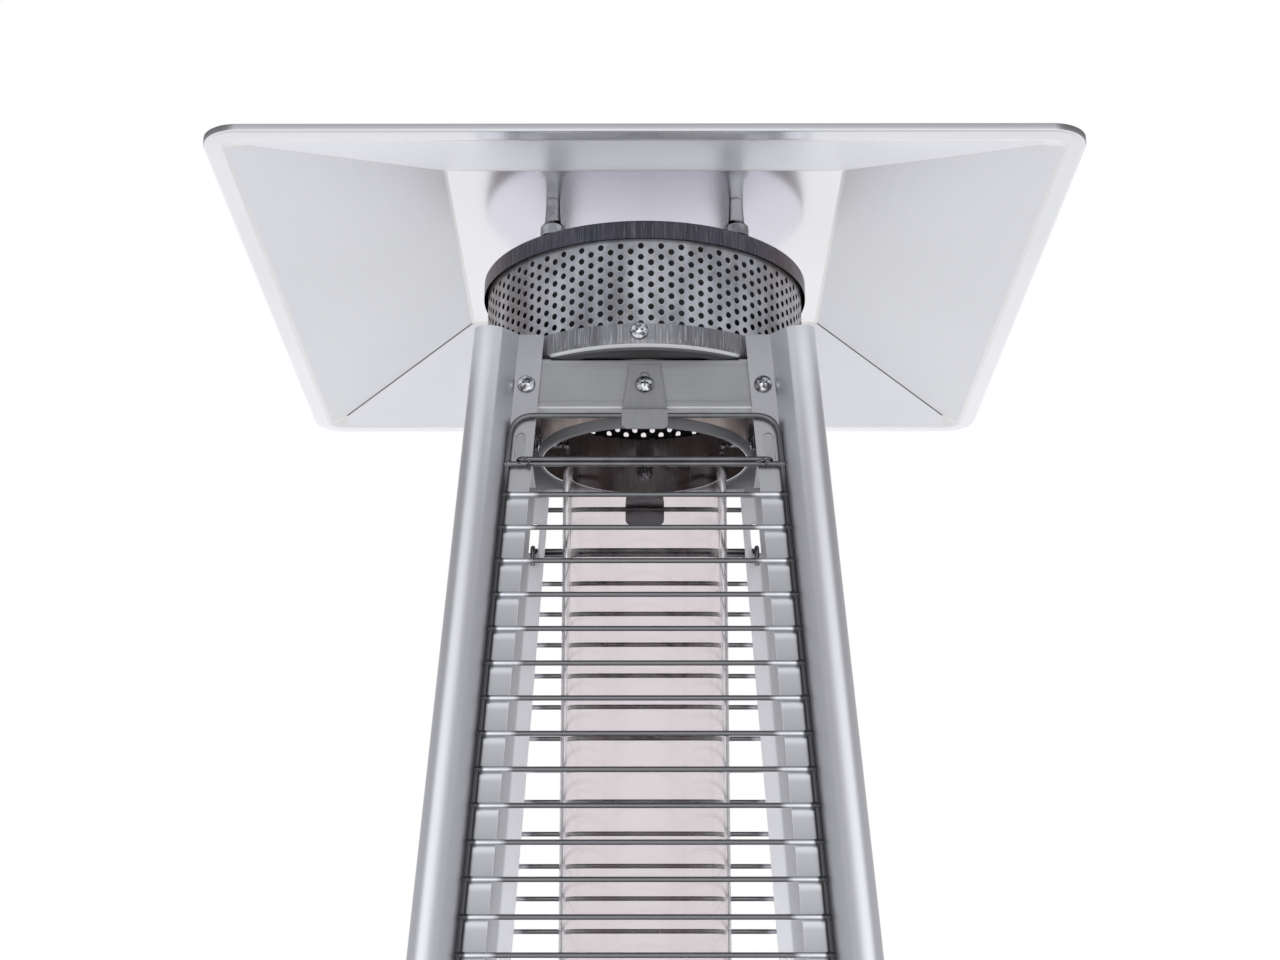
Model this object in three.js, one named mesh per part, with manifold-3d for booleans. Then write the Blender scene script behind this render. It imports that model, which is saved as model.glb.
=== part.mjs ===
import * as THREE from 'three';
import { mergeVertices } from 'three/addons/utils/BufferGeometryUtils.js';
import Module from 'manifold-3d';

// Pyramid patio heater: millimetres, +Z up, front towards -Y, origin on the floor under the middle

// The pyramid is given by the outermost planes of its four corner posts
const floorHalfWidth = 251.3;
const headHalfWidth = 99;
const postTopZ = 2166.5;
const postSplitZ = 850;

// Clearances shared by all pieces
const seatGap = 0.3;
const runningGap = 0.3;
const cutOverrun = 4;
const coincidence = 0.001;

// Corner post section, measured inwards from the outermost planes
const noseRadius = 7;
const crownControl = 12.6;
const flankTopIn = 17;
const flankTopDeep = 4;
const flankFootIn = 24.4;
const flankFootDeep = 13;
const flangeStart = 25.6;
const flangeDepth = 15;
const flangeThickness = 2;
const flangeEdge = 41;
const postSkin = 1.6;
const spigotLength = 40;
const spigotGap = 0.4;

// Holes in the post flanges, on one line
const fixingLine = 32.5;
const fixingHoleRadius = 2.9;
const hookSlotWidth = 6;
const hookSlotHeight = 22;

// Small fasteners that show on the head
const screwShankRadius = 2.5;
const screwHeadRadius = 5.2;
const screwHeadHeight = 3.2;
const screwDomeShare = 0.7;
const screwSides = 6;

// Base tray, feet and wheels
const footHeight = 33.7;
const footRadius = 20;
const footTopRadius = 17;
const footInset = 30;
const footSides = 12;
const traySheet = 1.5;
const trayWallHeight = 41;
const trayClearance = 1.7;
const trayCornerRadius = 8;
const wheelRadius = 25;
const wheelWidth = 20;
const wheelHubRadius = 14;
const wheelDish = 3;
const wheelInset = 72;
const wheelFloorClearance = 2;
const wheelSetback = 3;
const wheelWellGap = 2.5;
const wheelSides = 16;
const axleRadius = 4;
const axleHeadRadius = 6;
const axleHeadLength = 3;
const earThickness = 2;
const earLength = 20;
const earDrop = 14;
const wheelSideGap = 0.8;
const cylinderRingRadius = 160;
const cylinderRingSheet = 1.5;
const cylinderRingHeight = 26;
const cylinderRingFlange = 12;
const ringSides = 24;

// Housing panels
const panelSheet = 1.2;
const panelSideInset = 30;
const panelTopDrop = 4;
const ventCount = 4;
const panelFold = 12;
const panelFoldInset = 45;
const ventWidth = 8;
const ventHeight = 42;
const ventPitch = 34;
const ventUpperDrop = 60;
const ventLowerRise = 90;
const overlayDepth = 10;
const overlaySideInset = 29;
const controlPanelHeight = 126;
const doorGap = 5;
const doorBottomRise = 5;

// Door hinges: two lift-off pairs on the left, beside the post bead
const hingeIn = 24.5;
const hingeDeep = 5.5;
const hingeBarrelRadius = 3;
const hingePinRadius = 1.9;
const hingeBarrelLength = 13;
const hingeLeafHeight = 36;
const hingeLeafEdge = 38;
const hingeArmStart = 27;
const hingeArmThickness = 1.4;
const hingeLeafThickness = 1.5;
const hingeNotchMargin = 2;
const hingeEndDistance = 90;
const hingeEndGap = 0.7;
const hingeSteps = 5;

// Door handle and magnet
const handleInset = 48;
const handleHeight = 110;
const handleReach = 21;
const handleRadius = 5;
const handleBend = 7;
const handleMidShare = 0.55;
const handleSides = 6;
const magnetWidth = 7;
const magnetHeight = 30;
const magnetDepth = 7;

// Controls on the fascia
const controlRise = 66;
const knobX = 42;
const knobRadius = 24;
const knobNoseRadius = 20;
const knobHeight = 20;
const knobGap = 5.5;
const knobGripWidth = 9;
const knobGripHeight = 7;
const knobBoreDepth = 13;
const knobSides = 18;
const stemRadius = 4;
const stemReach = 13;
const stemDepth = 18;
const stemHoleRadius = 8;
const valveWidth = 46;
const valveHeight = 38;
const valveDepth = 42;
const inletRadius = 7;
const inletLength = 22;
const inletNutRadius = 10;
const inletNutHeight = 9;
const igniterX = -52;
const igniterBezelRadius = 14;
const igniterBezelHeight = 4;
const igniterBarrelRadius = 10.5;
const igniterBoreRadius = 8;
const igniterLength = 52;
const buttonRadius = 7.6;
const buttonReach = 9;
const buttonDepth = 5;
const buttonStemRadius = 3.5;
const buttonTravel = 5;
const buttonSides = 12;

// Burner compartment
const deckSheet = 2;
const deckInset = 0.7;
const deckHoleRadius = 24;
const deckVentWidth = 60;
const deckVentHeight = 8;
const deckVentRadius = 110;
const seatRingInner = 44;
const seatRingHeight = 15;
const seatRingWall = 2;
const tubeRadius = 50;
const tubeWall = 2.8;
const tubeSideGap = 1.5;
const burnerFlangeRadius = 42;
const burnerBodyRadius = 31;
const burnerNeckRadius = 15;
const burnerPipeRadius = 11;
const burnerHeight = 46;
const burnerShoulder = 10;
const burnerSheet = 2;
const burnerPipeLength = 52;
const burnerPortWidth = 7;
const burnerPortCount = 6;
const pilotX = 36.5;
const pilotFoot = 8;
const pilotRodRadius = 1.4;
const pilotRodSpread = 2.5;
const pilotHeight = 50;
const gasPipeRadius = 4;
const gasPipeBend = 14;
const tiltWidth = 30;
const tiltDepth = 22;
const tiltHeight = 40;
const tiltX = -90;
const tiltY = 60;

// Crossbars between the post tops
const crossbarTopDrop = 15.2;
const crossbarHeight = 30.8;
const crossbarSheet = 1.3;
const crossbarDepth = 15;
const crossbarEndInset = 19;
const crossbarFoldInset = 36;
const crossbarTabHalf = 35.4;
const crossbarNotchHalf = 55;
const crossbarScrewRise = 14;
const studX = 30;
const studDeep = 9.5;
const studRadius = 2.5;
const studNutRadius = 4.6;
const studNutHeight = 5;

// Guards, hooks and clips
const guardRodRadius = 2;
const guardWireRadius = 1.1;
const guardLegInset = 27.5;
const guardTopDrop = 6.6;
const guardCornerRadius = 11;
const hookRodDrop = 27.3;
const hookWireDrop = 2.6;
const firstWireDrop = 49;
const wirePitch = 20;
const guardBottomRise = 22;
const hookTail = 12;
const hookBend = 2.2;
const hookDeep = 5.5;
const guardSides = 4;
const wireSides = 3;
const clipSheet = 1.2;
const clipTopWidth = 17.5;
const clipFootWidth = 26.5;
const clipTopDrop = 4;
const clipShelfDrop = 2;
const clipLip = 14;
const clipSlotWidth = 5.8;
const clipSlotUp = 8;
const clipSlotDown = 4;

// Head: pan, screen, cap
const collarInner = 63;
const headSheet = 1.2;
const collarHeight = 35.6;
const panFloorRadius = 91;
const lipDrop = 3;
const lipLow = 92;
const lipHigh = 96.5;
const bandRadius = 99.6;
const bandFootRise = 5;
const bandHeight = 10.5;
const screenRadius = 98;
const screenSheet = 1;
const screenHeight = 73.8;
const screenHoleRadius = 8;
const screenColumns = 12;
const screenRows = 3;
const screenMargin = 18;
const capRadius = 100.6;
const capWall = 11.5;
const capSheet = 1.4;
const headSides = screenColumns * 2;

// Hood and its spacers
const spacerX = 55;
const spacerY = 75;
const spacerCollarRadius = 7.5;
const spacerCollarHeight = 8;
const spacerFlareRadius = 6.4;
const spacerFlareHeight = 4;
const spacerWaistRadius = 4.6;
const spacerTopRadius = 4;
const spacerHeight = 23.8;
const spacerStudRadius = 3;
const spacerStudHole = 3.5;
const domeNutRadius = 5.5;
const domeNutHeight = 8;
const domeNutTopRadius = 2.5;
const spacerSides = 8;
const hoodTopHalf = 117;
const hoodTopRadius = 2;
const hoodSlopeHalf = 226.5;
const hoodSlopeRadius = 12;
const hoodRimHalf = 237.5;
const hoodRimRadius = 21;
const hoodRise = 36.5;
const hoodRimRoll = 1.5;
const hoodHem = 4.5;
const hoodSheet = 1;
const hoodCornerSteps = 3;

// Glass: its top stands inside the collar
const tubeInsertion = 13;

// Finishes
const satinAluminium = new THREE.MeshStandardMaterial({ color: 0xb9b9c2, roughness: 0.35, metalness: 0.9 });
const brushedSteel = new THREE.MeshStandardMaterial({ color: 0xc9c9d0, roughness: 0.3, metalness: 0.95 });
const heatedSteel = new THREE.MeshStandardMaterial({ color: 0x6a666c, roughness: 0.4, metalness: 0.9 });
const greySteel = new THREE.MeshStandardMaterial({ color: 0x85858a, roughness: 0.5, metalness: 0.85 });
const chromedWire = new THREE.MeshStandardMaterial({ color: 0xa8a8b0, roughness: 0.15, metalness: 1 });
const quartzGlass = new THREE.MeshStandardMaterial({ color: 0xe6e2e4, roughness: 0.05, metalness: 0 });
const blackPlastic = new THREE.MeshStandardMaterial({ color: 0x1c1c1e, roughness: 0.5, metalness: 0 });
const blackRubber = new THREE.MeshStandardMaterial({ color: 0x202022, roughness: 0.8, metalness: 0 });
const brass = new THREE.MeshStandardMaterial({ color: 0xb59a55, roughness: 0.35, metalness: 0.9 });

// Places that follow from the sizes above
const lean = (floorHalfWidth - headHalfWidth) / postTopZ;
const halfWidth = (z) => floorHalfWidth - lean * z;
const leanAngle = Math.atan(lean);
const quarterTurn = Math.PI / 2;
const trayFloorZ = footHeight + seatGap;
const trayFloorTopZ = trayFloorZ + traySheet;
const trayHalf = halfWidth(trayFloorTopZ) + trayClearance + traySheet;
const axleZ = wheelRadius + wheelFloorClearance;
const wheelWellTopZ = axleZ + wheelRadius + wheelWellGap;
const axleY = trayHalf - wheelRadius - wheelSetback;
const wheelX = trayHalf - wheelInset;
const panelTopZ = postSplitZ - panelTopDrop;
const controlPanelZ = panelTopZ - controlPanelHeight;
const controlZ = controlPanelZ + controlRise;
const doorTopZ = controlPanelZ - doorGap;
const doorBottomZ = trayFloorZ + trayWallHeight + doorBottomRise;
const overlayBack = flangeDepth - seatGap;
const overlayFront = overlayBack - overlayDepth;
const deckZ = panelTopZ + seatGap;
const deckTopZ = deckZ + deckSheet;
const tubeFootZ = deckTopZ + seatGap + seatRingWall + seatGap;
const crossbarTopZ = postTopZ - crossbarTopDrop;
const crossbarFootZ = crossbarTopZ - crossbarHeight;
const crossbarFace = flangeDepth + flangeThickness + seatGap;
const crossbarScrewZ = crossbarFootZ + crossbarScrewRise;
const guardTopZ = crossbarFootZ - guardTopDrop;
const guardDeep = flangeDepth - seatGap - guardRodRadius;
const hookRodZ = guardTopZ - hookRodDrop;
const guardBottomZ = deckTopZ + guardBottomRise;
const panFloorZ = crossbarTopZ + seatGap;
const panTopZ = panFloorZ + headSheet;
const collarFootZ = panFloorZ - collarHeight;
const tubeTopZ = collarFootZ + tubeInsertion;
const bandFootZ = panFloorZ + bandFootRise;
const screenFootZ = bandFootZ + seatGap;
const capZ = screenFootZ + screenHeight + seatGap;
const capTopZ = capZ + capSheet;
const hoodTopZ = capTopZ + seatGap + spacerHeight + seatGap;

const model = new THREE.Group();
const wasm = await Module();
wasm.setup();

// Solids: one closed mesh of a geometry, and joins and cuts of such meshes
function solid(geometry) {
  const bare = geometry.clone();
  bare.deleteAttribute('normal');
  bare.deleteAttribute('uv');
  const merged = mergeVertices(bare);
  const corners = merged.index.array;
  const kept = [];
  for (let i = 0; i < corners.length; i += 3) {
    const [a, b, c] = [corners[i], corners[i + 1], corners[i + 2]];
    if (a !== b && b !== c && c !== a) kept.push(a, b, c);
  }
  const places = merged.attributes.position.array;
  if (enclosedVolume(places, kept) < 0) kept.reverse();
  return new wasm.Manifold(new wasm.Mesh({
    numProp: 3, vertProperties: new Float32Array(places), triVerts: new Uint32Array(kept),
  }));
}

function enclosedVolume(places, corners) {
  const [a, b, c] = [new THREE.Vector3(), new THREE.Vector3(), new THREE.Vector3()];
  let volume = 0;
  for (let i = 0; i < corners.length; i += 3) {
    a.fromArray(places, corners[i] * 3);
    b.fromArray(places, corners[i + 1] * 3);
    c.fromArray(places, corners[i + 2] * 3);
    volume += a.dot(b.cross(c));
  }
  return volume;
}

const join = (first, ...others) => others.reduce((whole, piece) => whole.add(piece), first);
const cut = (first, ...tools) => tools.reduce((whole, tool) => whole.subtract(tool), first);

function geometryOf(manifold, matrix) {
  const { numProp, vertProperties, triVerts } = manifold.getMesh();
  const geometry = new THREE.BufferGeometry();
  geometry.setAttribute('position', new THREE.Float32BufferAttribute(vertProperties, numProp));
  geometry.setIndex(Array.from(triVerts));
  if (matrix) geometry.applyMatrix4(matrix);
  geometry.computeVertexNormals();
  return geometry;
}

function place(parent, name, geometry, material) {
  const mesh = new THREE.Mesh(geometry, material);
  mesh.name = name;
  parent.add(mesh);
  return mesh;
}

// Face space holds a leaning face upright: x across, y inwards from the outermost plane, z true height
const faceToWorld = new THREE.Matrix4().makeTranslation(0, -floorHalfWidth, 0)
  .multiply(new THREE.Matrix4().makeShear(0, 0, 0, 0, 0, lean));

// Corner space does the same for the front left post: x and y inwards from the outermost planes
const cornerToWorld = new THREE.Matrix4().makeTranslation(-floorHalfWidth, -floorHalfWidth, 0)
  .multiply(new THREE.Matrix4().makeShear(0, 0, 0, 0, lean, lean));

// The fascia frame stands on the control panel with its own z pointing straight out of the panel
function fasciaFrame(x) {
  const frame = new THREE.Group();
  frame.position.set(x, overlayFront - halfWidth(controlZ), controlZ);
  frame.rotation.x = quarterTurn - leanAngle;
  return frame;
}

// Basic forms
function outline(points) {
  return new THREE.Shape(points.map(([x, y]) => new THREE.Vector2(x, y)));
}

function box(xLow, xHigh, yLow, yHigh, zLow, zHigh) {
  const geometry = new THREE.BoxGeometry(xHigh - xLow, yHigh - yLow, zHigh - zLow);
  return solid(geometry.translate((xLow + xHigh) / 2, (yLow + yHigh) / 2, (zLow + zHigh) / 2));
}

// A shape given depth along z; where its curves meet one point is kept, and its outline runs anticlockwise
function extruded(shape, depth, curveSegments = 2) {
  const distinct = (points) => points.filter((point, i) => (
    point.distanceTo(points.at(i - 1)) > coincidence
  ));
  const drawn = shape.extractPoints(curveSegments);
  const edge = distinct(drawn.shape);
  if (THREE.ShapeUtils.isClockWise(edge)) edge.reverse();
  const section = new THREE.Shape(edge);
  section.holes = drawn.holes.map((hole) => new THREE.Path(distinct(hole)));
  return new THREE.ExtrudeGeometry(section, { depth, bevelEnabled: false });
}

// A shape in x and z, given depth along y
function plate(shape, front, thickness) {
  return solid(extruded(shape, thickness).rotateX(quarterTurn).translate(0, front + thickness, 0));
}

// A shape in x and y, given height along z
function upright(shape, zLow, zHigh, curveSegments) {
  return solid(extruded(shape, zHigh - zLow, curveSegments).translate(0, 0, zLow));
}

// A section in y and z, given length along x
function lengthwise(shape, xLow, xHigh) {
  const geometry = extruded(shape, xHigh - xLow);
  const [alongX, alongY, alongZ] = [0, 1, 2].map((axis) => new THREE.Vector3().setComponent(axis, 1));
  geometry.applyMatrix4(new THREE.Matrix4().makeBasis(alongY, alongZ, alongX));
  return solid(geometry.translate(xLow, 0, 0));
}

// A profile of [radius, height] pairs turned about z; it closes on itself or ends on the axis
function turnedGeometry(profile, sides) {
  const onAxis = profile[0][0] === 0;
  const points = (onAxis ? profile : [...profile, profile[0]]).map(([r, z]) => new THREE.Vector2(r, z));
  return new THREE.LatheGeometry(points, sides).rotateX(quarterTurn);
}

const turned = (profile, sides) => solid(turnedGeometry(profile, sides));

function cylinder(radius, zLow, zHigh, sides, x = 0, y = 0) {
  const profile = [[0, zLow], [radius, zLow], [radius, zHigh], [0, zHigh]];
  return solid(turnedGeometry(profile, sides).translate(x, y, 0));
}

// A turned profile whose axis points out of a face, standing at depth y of face space
function outwards(profile, sides, x, y, z) {
  return solid(turnedGeometry(profile, sides).rotateX(quarterTurn).translate(x, y, z));
}

function acrossHole(radius, sides, x, z) {
  const profile = [[0, -flangeEdge], [radius, -flangeEdge], [radius, flangeEdge], [0, flangeEdge]];
  return outwards(profile, sides, x, 0, z);
}

// A straight-sided route through points, so that a rod gets one ring at each point
class Route extends THREE.Curve {
  constructor(points) {
    super();
    this.points = points.map((point) => new THREE.Vector3(...point));
  }

  getPoint(t, target = new THREE.Vector3()) {
    const along = Math.min(Math.max(t, 0), 1) * (this.points.length - 1);
    const index = Math.min(Math.floor(along), this.points.length - 2);
    return target.lerpVectors(this.points[index], this.points[index + 1], along - index);
  }

  getPointAt(u, target) {
    return this.getPoint(u, target);
  }

  getTangentAt(u, target) {
    return this.getTangent(u, target);
  }
}

// The section has the area of the round rod, so its corners stand a little proud
function rod(points, radius, sides) {
  const step = 4 * quarterTurn / sides;
  const corner = radius * Math.sqrt(step / Math.sin(step));
  const section = [];
  for (let i = 0; i < sides; i++) {
    const angle = (i + 0.5) * step;
    section.push([corner * Math.cos(angle), corner * Math.sin(angle)]);
  }
  return solid(new THREE.ExtrudeGeometry(outline(section), {
    extrudePath: new Route(points), steps: points.length - 1,
  }));
}

// A quarter bend from one direction into the other round a centre, as points of an arc
function bend(centre, from, to, radius, steps = 3) {
  const points = [];
  for (let i = 0; i <= steps; i++) {
    const angle = quarterTurn * i / steps;
    const [a, b] = [radius * Math.cos(angle), radius * Math.sin(angle)];
    points.push(centre.map((value, axis) => value + a * from[axis] + b * to[axis]));
  }
  return points;
}

// A pan head with its shank, pointing out of a face and seated against depth y
function screw(x, y, z, shankLength) {
  return outwards([
    [0, -shankLength], [screwShankRadius, -shankLength], [screwShankRadius, 0], [screwHeadRadius, 0],
    [screwHeadRadius * screwDomeShare, screwHeadHeight], [0, screwHeadHeight],
  ], screwSides, x, y, z);
}

// Corner posts
function beadEdge(inset) {
  const run = Math.hypot(flankFootIn - flankTopIn, flankFootDeep - flankTopDeep);
  const shiftIn = -inset * (flankFootDeep - flankTopDeep) / run;
  const shiftDeep = inset * (flankFootIn - flankTopIn) / run;
  return {
    crown: [crownControl, inset],
    flankTop: [flankTopIn + shiftIn, flankTopDeep + shiftDeep],
    flankFoot: [flankFootIn + shiftIn, flankFootDeep + shiftDeep],
  };
}

// The bead from its flank foot round the nose to the other flank foot, continuing an open shape
function traceBead(shape, inset) {
  const { crown, flankTop, flankFoot } = beadEdge(inset);
  const swap = ([x, y]) => [y, x];
  shape.lineTo(...flankFoot);
  shape.lineTo(...flankTop);
  shape.quadraticCurveTo(...crown, noseRadius, inset);
  shape.absarc(noseRadius, noseRadius, noseRadius - inset, -quarterTurn, -2 * quarterTurn, true);
  shape.quadraticCurveTo(...swap(crown), ...swap(flankTop));
  shape.lineTo(...swap(flankFoot));
}

function postShape() {
  const flangeBack = flangeDepth + flangeThickness;
  const shape = new THREE.Shape();
  shape.moveTo(flangeEdge, flangeBack);
  shape.lineTo(flangeEdge, flangeDepth);
  shape.lineTo(flangeStart, flangeDepth);
  traceBead(shape, 0);
  shape.lineTo(flangeDepth, flangeStart);
  shape.lineTo(flangeDepth, flangeEdge);
  shape.lineTo(flangeBack, flangeEdge);
  shape.lineTo(flangeBack, flangeBack);
  shape.holes.push(hollowShape(postSkin));
  return shape;
}

function hollowShape(inset) {
  const back = flangeDepth + postSkin - inset;
  const shape = new THREE.Shape();
  shape.moveTo(back, back);
  shape.lineTo(beadEdge(inset).flankFoot[0], back);
  traceBead(shape, inset);
  shape.lineTo(back, beadEdge(inset).flankFoot[0]);
  return shape;
}

// A hole through both flanges of a post, made from a tool drawn across one of them
function throughFlanges(tool) {
  const swap = new THREE.Matrix4().makeBasis(
    new THREE.Vector3(0, 1, 0), new THREE.Vector3(1, 0, 0), new THREE.Vector3(0, 0, 1),
  );
  return [tool, solid(geometryOf(tool, swap))];
}

function flangeSlot(line, halfSlot, zLow, zHigh) {
  return box(
    line - halfSlot, line + halfSlot, flangeDepth - seatGap, flangeDepth + flangeThickness + seatGap,
    zLow, zHigh,
  );
}

function upperPost() {
  const screwHole = outwards([
    [0, -flangeThickness], [fixingHoleRadius, -flangeThickness],
    [fixingHoleRadius, flangeThickness], [0, flangeThickness],
  ], screwSides, fixingLine, flangeDepth + flangeThickness / 2, crossbarScrewZ);
  const hookLow = hookRodZ - guardRodRadius - seatGap;
  const footHalf = guardRodRadius + seatGap;
  const hookSlot = flangeSlot(fixingLine, hookSlotWidth / 2, hookLow, hookLow + hookSlotHeight);
  const footHole = flangeSlot(guardLegInset, footHalf, guardBottomZ - footHalf, guardBottomZ + footHalf);
  return cut(
    upright(postShape(), postSplitZ, postTopZ),
    ...throughFlanges(hookSlot), ...throughFlanges(footHole), ...throughFlanges(screwHole),
  );
}

function lowerPost() {
  const bar = upright(postShape(), trayFloorTopZ + seatGap, postSplitZ - seatGap);
  const root = postSplitZ - spigotLength;
  const spigot = upright(hollowShape(postSkin + spigotGap), root, postSplitZ + spigotLength);
  const plug = upright(hollowShape(postSkin), root, root + spigotLength / 2);
  return join(bar, plug, spigot);
}

const postPlaces = ['front_left', 'front_right', 'back_right', 'back_left'];
const upperPostGeometry = geometryOf(upperPost(), cornerToWorld);
const lowerPostGeometry = geometryOf(lowerPost(), cornerToWorld);
const corners = postPlaces.map((corner, turn) => {
  const group = new THREE.Group();
  group.rotation.z = turn * quarterTurn;
  model.add(group);
  place(group, `upper_post_${corner}`, upperPostGeometry, satinAluminium);
  place(group, `lower_post_${corner}`, lowerPostGeometry, satinAluminium);
  return group;
});

// Base tray with wheel wells and the ears that carry the axle
function roundedSquare(half, radius) {
  const shape = new THREE.Shape();
  const arm = half - radius;
  shape.moveTo(-arm, -half);
  shape.lineTo(arm, -half);
  shape.absarc(arm, -arm, radius, -quarterTurn, 0, false);
  shape.absarc(arm, arm, radius, 0, quarterTurn, false);
  shape.absarc(-arm, arm, radius, quarterTurn, 2 * quarterTurn, false);
  shape.absarc(-arm, -arm, radius, 2 * quarterTurn, 3 * quarterTurn, false);
  return shape;
}

function baseTray() {
  const shell = cut(
    upright(roundedSquare(trayHalf, trayCornerRadius), trayFloorZ, trayFloorZ + trayWallHeight),
    upright(
      roundedSquare(trayHalf - traySheet, trayCornerRadius - traySheet),
      trayFloorTopZ, trayFloorZ + trayWallHeight + cutOverrun,
    ),
  );
  let tray = shell;
  const wellHalf = wheelWidth / 2 + wheelSideGap;
  for (const x of [-wheelX, wheelX]) {
    tray = cut(tray, box(
      x - wellHalf, x + wellHalf, axleY - wheelRadius - wheelWellGap, trayHalf + cutOverrun,
      trayFloorZ - cutOverrun, wheelWellTopZ,
    ));
    for (const side of [-1, 1]) {
      const near = x + side * wellHalf;
      const far = near + side * earThickness;
      tray = join(tray, box(
        Math.min(near, far), Math.max(near, far), axleY - earLength / 2, axleY + earLength / 2,
        trayFloorZ - earDrop, trayFloorTopZ,
      ));
    }
  }
  const bore = turnedGeometry([
    [0, -trayHalf], [axleRadius + runningGap, -trayHalf], [axleRadius + runningGap, trayHalf], [0, trayHalf],
  ], footSides).rotateY(quarterTurn).translate(0, axleY, axleZ);
  return cut(tray, solid(bore));
}

place(model, 'base_tray', geometryOf(baseTray()), brushedSteel);

const footGeometry = turnedGeometry([
  [0, 0], [footRadius, 0], [footTopRadius, footHeight], [0, footHeight],
], footSides);
corners.forEach((group, turn) => {
  const foot = place(group, `foot_${postPlaces[turn]}`, geometryOf(solid(footGeometry)), blackRubber);
  foot.position.set(footInset - trayHalf, footInset - trayHalf, 0);
});

// Axle and wheels, turned about x
function wheelAxle() {
  const half = wheelX + wheelWidth / 2 + wheelSideGap + earThickness + runningGap;
  return turnedGeometry([
    [0, -half - axleHeadLength], [axleHeadRadius, -half - axleHeadLength], [axleHeadRadius, -half],
    [axleRadius, -half], [axleRadius, half], [axleHeadRadius, half], [axleHeadRadius, half + axleHeadLength],
    [0, half + axleHeadLength],
  ], footSides).rotateY(quarterTurn);
}

function wheel() {
  const half = wheelWidth / 2;
  const bore = axleRadius + runningGap;
  const crown = wheelRadius - wheelDish / 2;
  const rimInner = wheelRadius - 2 * wheelDish;
  return turnedGeometry([
    [bore, -half], [wheelHubRadius, wheelDish - half], [rimInner, wheelDish - half],
    [crown, -half], [wheelRadius, wheelDish - half], [wheelRadius, half - wheelDish], [crown, half],
    [rimInner, half - wheelDish], [wheelHubRadius, half - wheelDish], [bore, half],
  ], wheelSides).rotateY(quarterTurn);
}

place(model, 'wheel_axle', geometryOf(solid(wheelAxle())), greySteel).position.set(0, axleY, axleZ);
const wheelGeometry = geometryOf(solid(wheel()));
place(model, 'wheel_left', wheelGeometry, blackRubber).position.set(-wheelX, axleY, axleZ);
place(model, 'wheel_right', wheelGeometry, blackRubber).position.set(wheelX, axleY, axleZ);

// Ring that centres the gas cylinder on the tray
const ringFootZ = trayFloorTopZ + seatGap;
const cylinderRing = turned([
  [cylinderRingRadius - cylinderRingSheet, ringFootZ],
  [cylinderRingRadius + cylinderRingFlange, ringFootZ],
  [cylinderRingRadius + cylinderRingFlange, ringFootZ + cylinderRingSheet],
  [cylinderRingRadius, ringFootZ + cylinderRingSheet],
  [cylinderRingRadius, ringFootZ + cylinderRingHeight],
  [cylinderRingRadius - cylinderRingSheet, ringFootZ + cylinderRingHeight],
], ringSides);
place(model, 'cylinder_ring', geometryOf(cylinderRing), greySteel);

// Panels behind the flanges, with vents and a fold that carries the deck
function trapezoid(inset, zLow, zHigh) {
  const [low, high] = [halfWidth(zLow) - inset, halfWidth(zHigh) - inset];
  return [[-low, zLow], [low, zLow], [high, zHigh], [-high, zHigh]];
}

function ventedPanel() {
  const zLow = wheelWellTopZ + seatGap;
  const vents = [];
  for (const z of [panelTopZ - ventUpperDrop, zLow + ventLowerRise]) {
    for (let i = 0; i < ventCount; i++) {
      const x = (i - (ventCount - 1) / 2) * ventPitch;
      vents.push(box(
        x - ventWidth / 2, x + ventWidth / 2, crossbarFace - cutOverrun, crossbarFace + cutOverrun,
        z - ventHeight / 2, z + ventHeight / 2,
      ));
    }
  }
  const foldHalf = halfWidth(panelTopZ) - panelFoldInset;
  return join(
    cut(plate(outline(trapezoid(panelSideInset, zLow, panelTopZ)), crossbarFace, panelSheet), ...vents),
    box(-foldHalf, foldHalf, crossbarFace, crossbarFace + panelFold, panelTopZ - panelSheet, panelTopZ),
  );
}

// Overlay pans lie on the flanges between the beads: a front sheet with edges folded back
function overlayPan(zLow, zHigh) {
  return cut(
    plate(outline(trapezoid(overlaySideInset, zLow, zHigh)), overlayFront, overlayDepth),
    plate(
      outline(trapezoid(overlaySideInset + panelSheet, zLow + panelSheet, zHigh - panelSheet)),
      overlayFront + panelSheet, overlayDepth,
    ),
  );
}

function controlPanel() {
  return cut(
    overlayPan(controlPanelZ, panelTopZ),
    acrossHole(stemHoleRadius, footSides, knobX, controlZ),
    acrossHole(igniterBarrelRadius + runningGap * 3, footSides, igniterX, controlZ),
  );
}

// Lift-off hinges: the post half carries a pin, the door half a knuckle that drops over it
const hingeHeights = [doorBottomZ + hingeEndDistance, doorTopZ - hingeEndDistance];
const hingeX = (z) => hingeIn - halfWidth(z);
const leaningCylinder = (radius, zLow, zHigh) => {
  const circle = new THREE.Shape().absarc(hingeIn, hingeDeep, radius, 0, 4 * quarterTurn, false);
  return upright(circle, zLow, zHigh, hingeSteps);
};

// The door panel is drawn in face space and its left edge in corner space, so one is sheared to the other
const cornerToFace = new THREE.Matrix4().copy(faceToWorld).invert().multiply(cornerToWorld);

function hingeHalf(z) {
  const leafBack = flangeDepth - seatGap;
  const leaf = box(
    hingeArmStart, hingeLeafEdge, leafBack - hingeLeafThickness, leafBack,
    z - hingeLeafHeight / 2, z + hingeLeafHeight / 2,
  );
  const front = hingeDeep - hingeArmThickness / 2;
  const side = hingeArmStart + hingeArmThickness;
  const arm = outline([
    [hingeIn, front], [side, front], [side, leafBack], [hingeArmStart, leafBack],
    [hingeArmStart, front + hingeArmThickness], [hingeIn, front + hingeArmThickness],
  ]);
  return join(
    leaf,
    upright(arm, z - hingeBarrelLength, z),
    leaningCylinder(hingeBarrelRadius, z - hingeBarrelLength, z),
    leaningCylinder(hingePinRadius, z - hingeBarrelLength / 2, z + hingeBarrelLength),
  );
}

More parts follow.
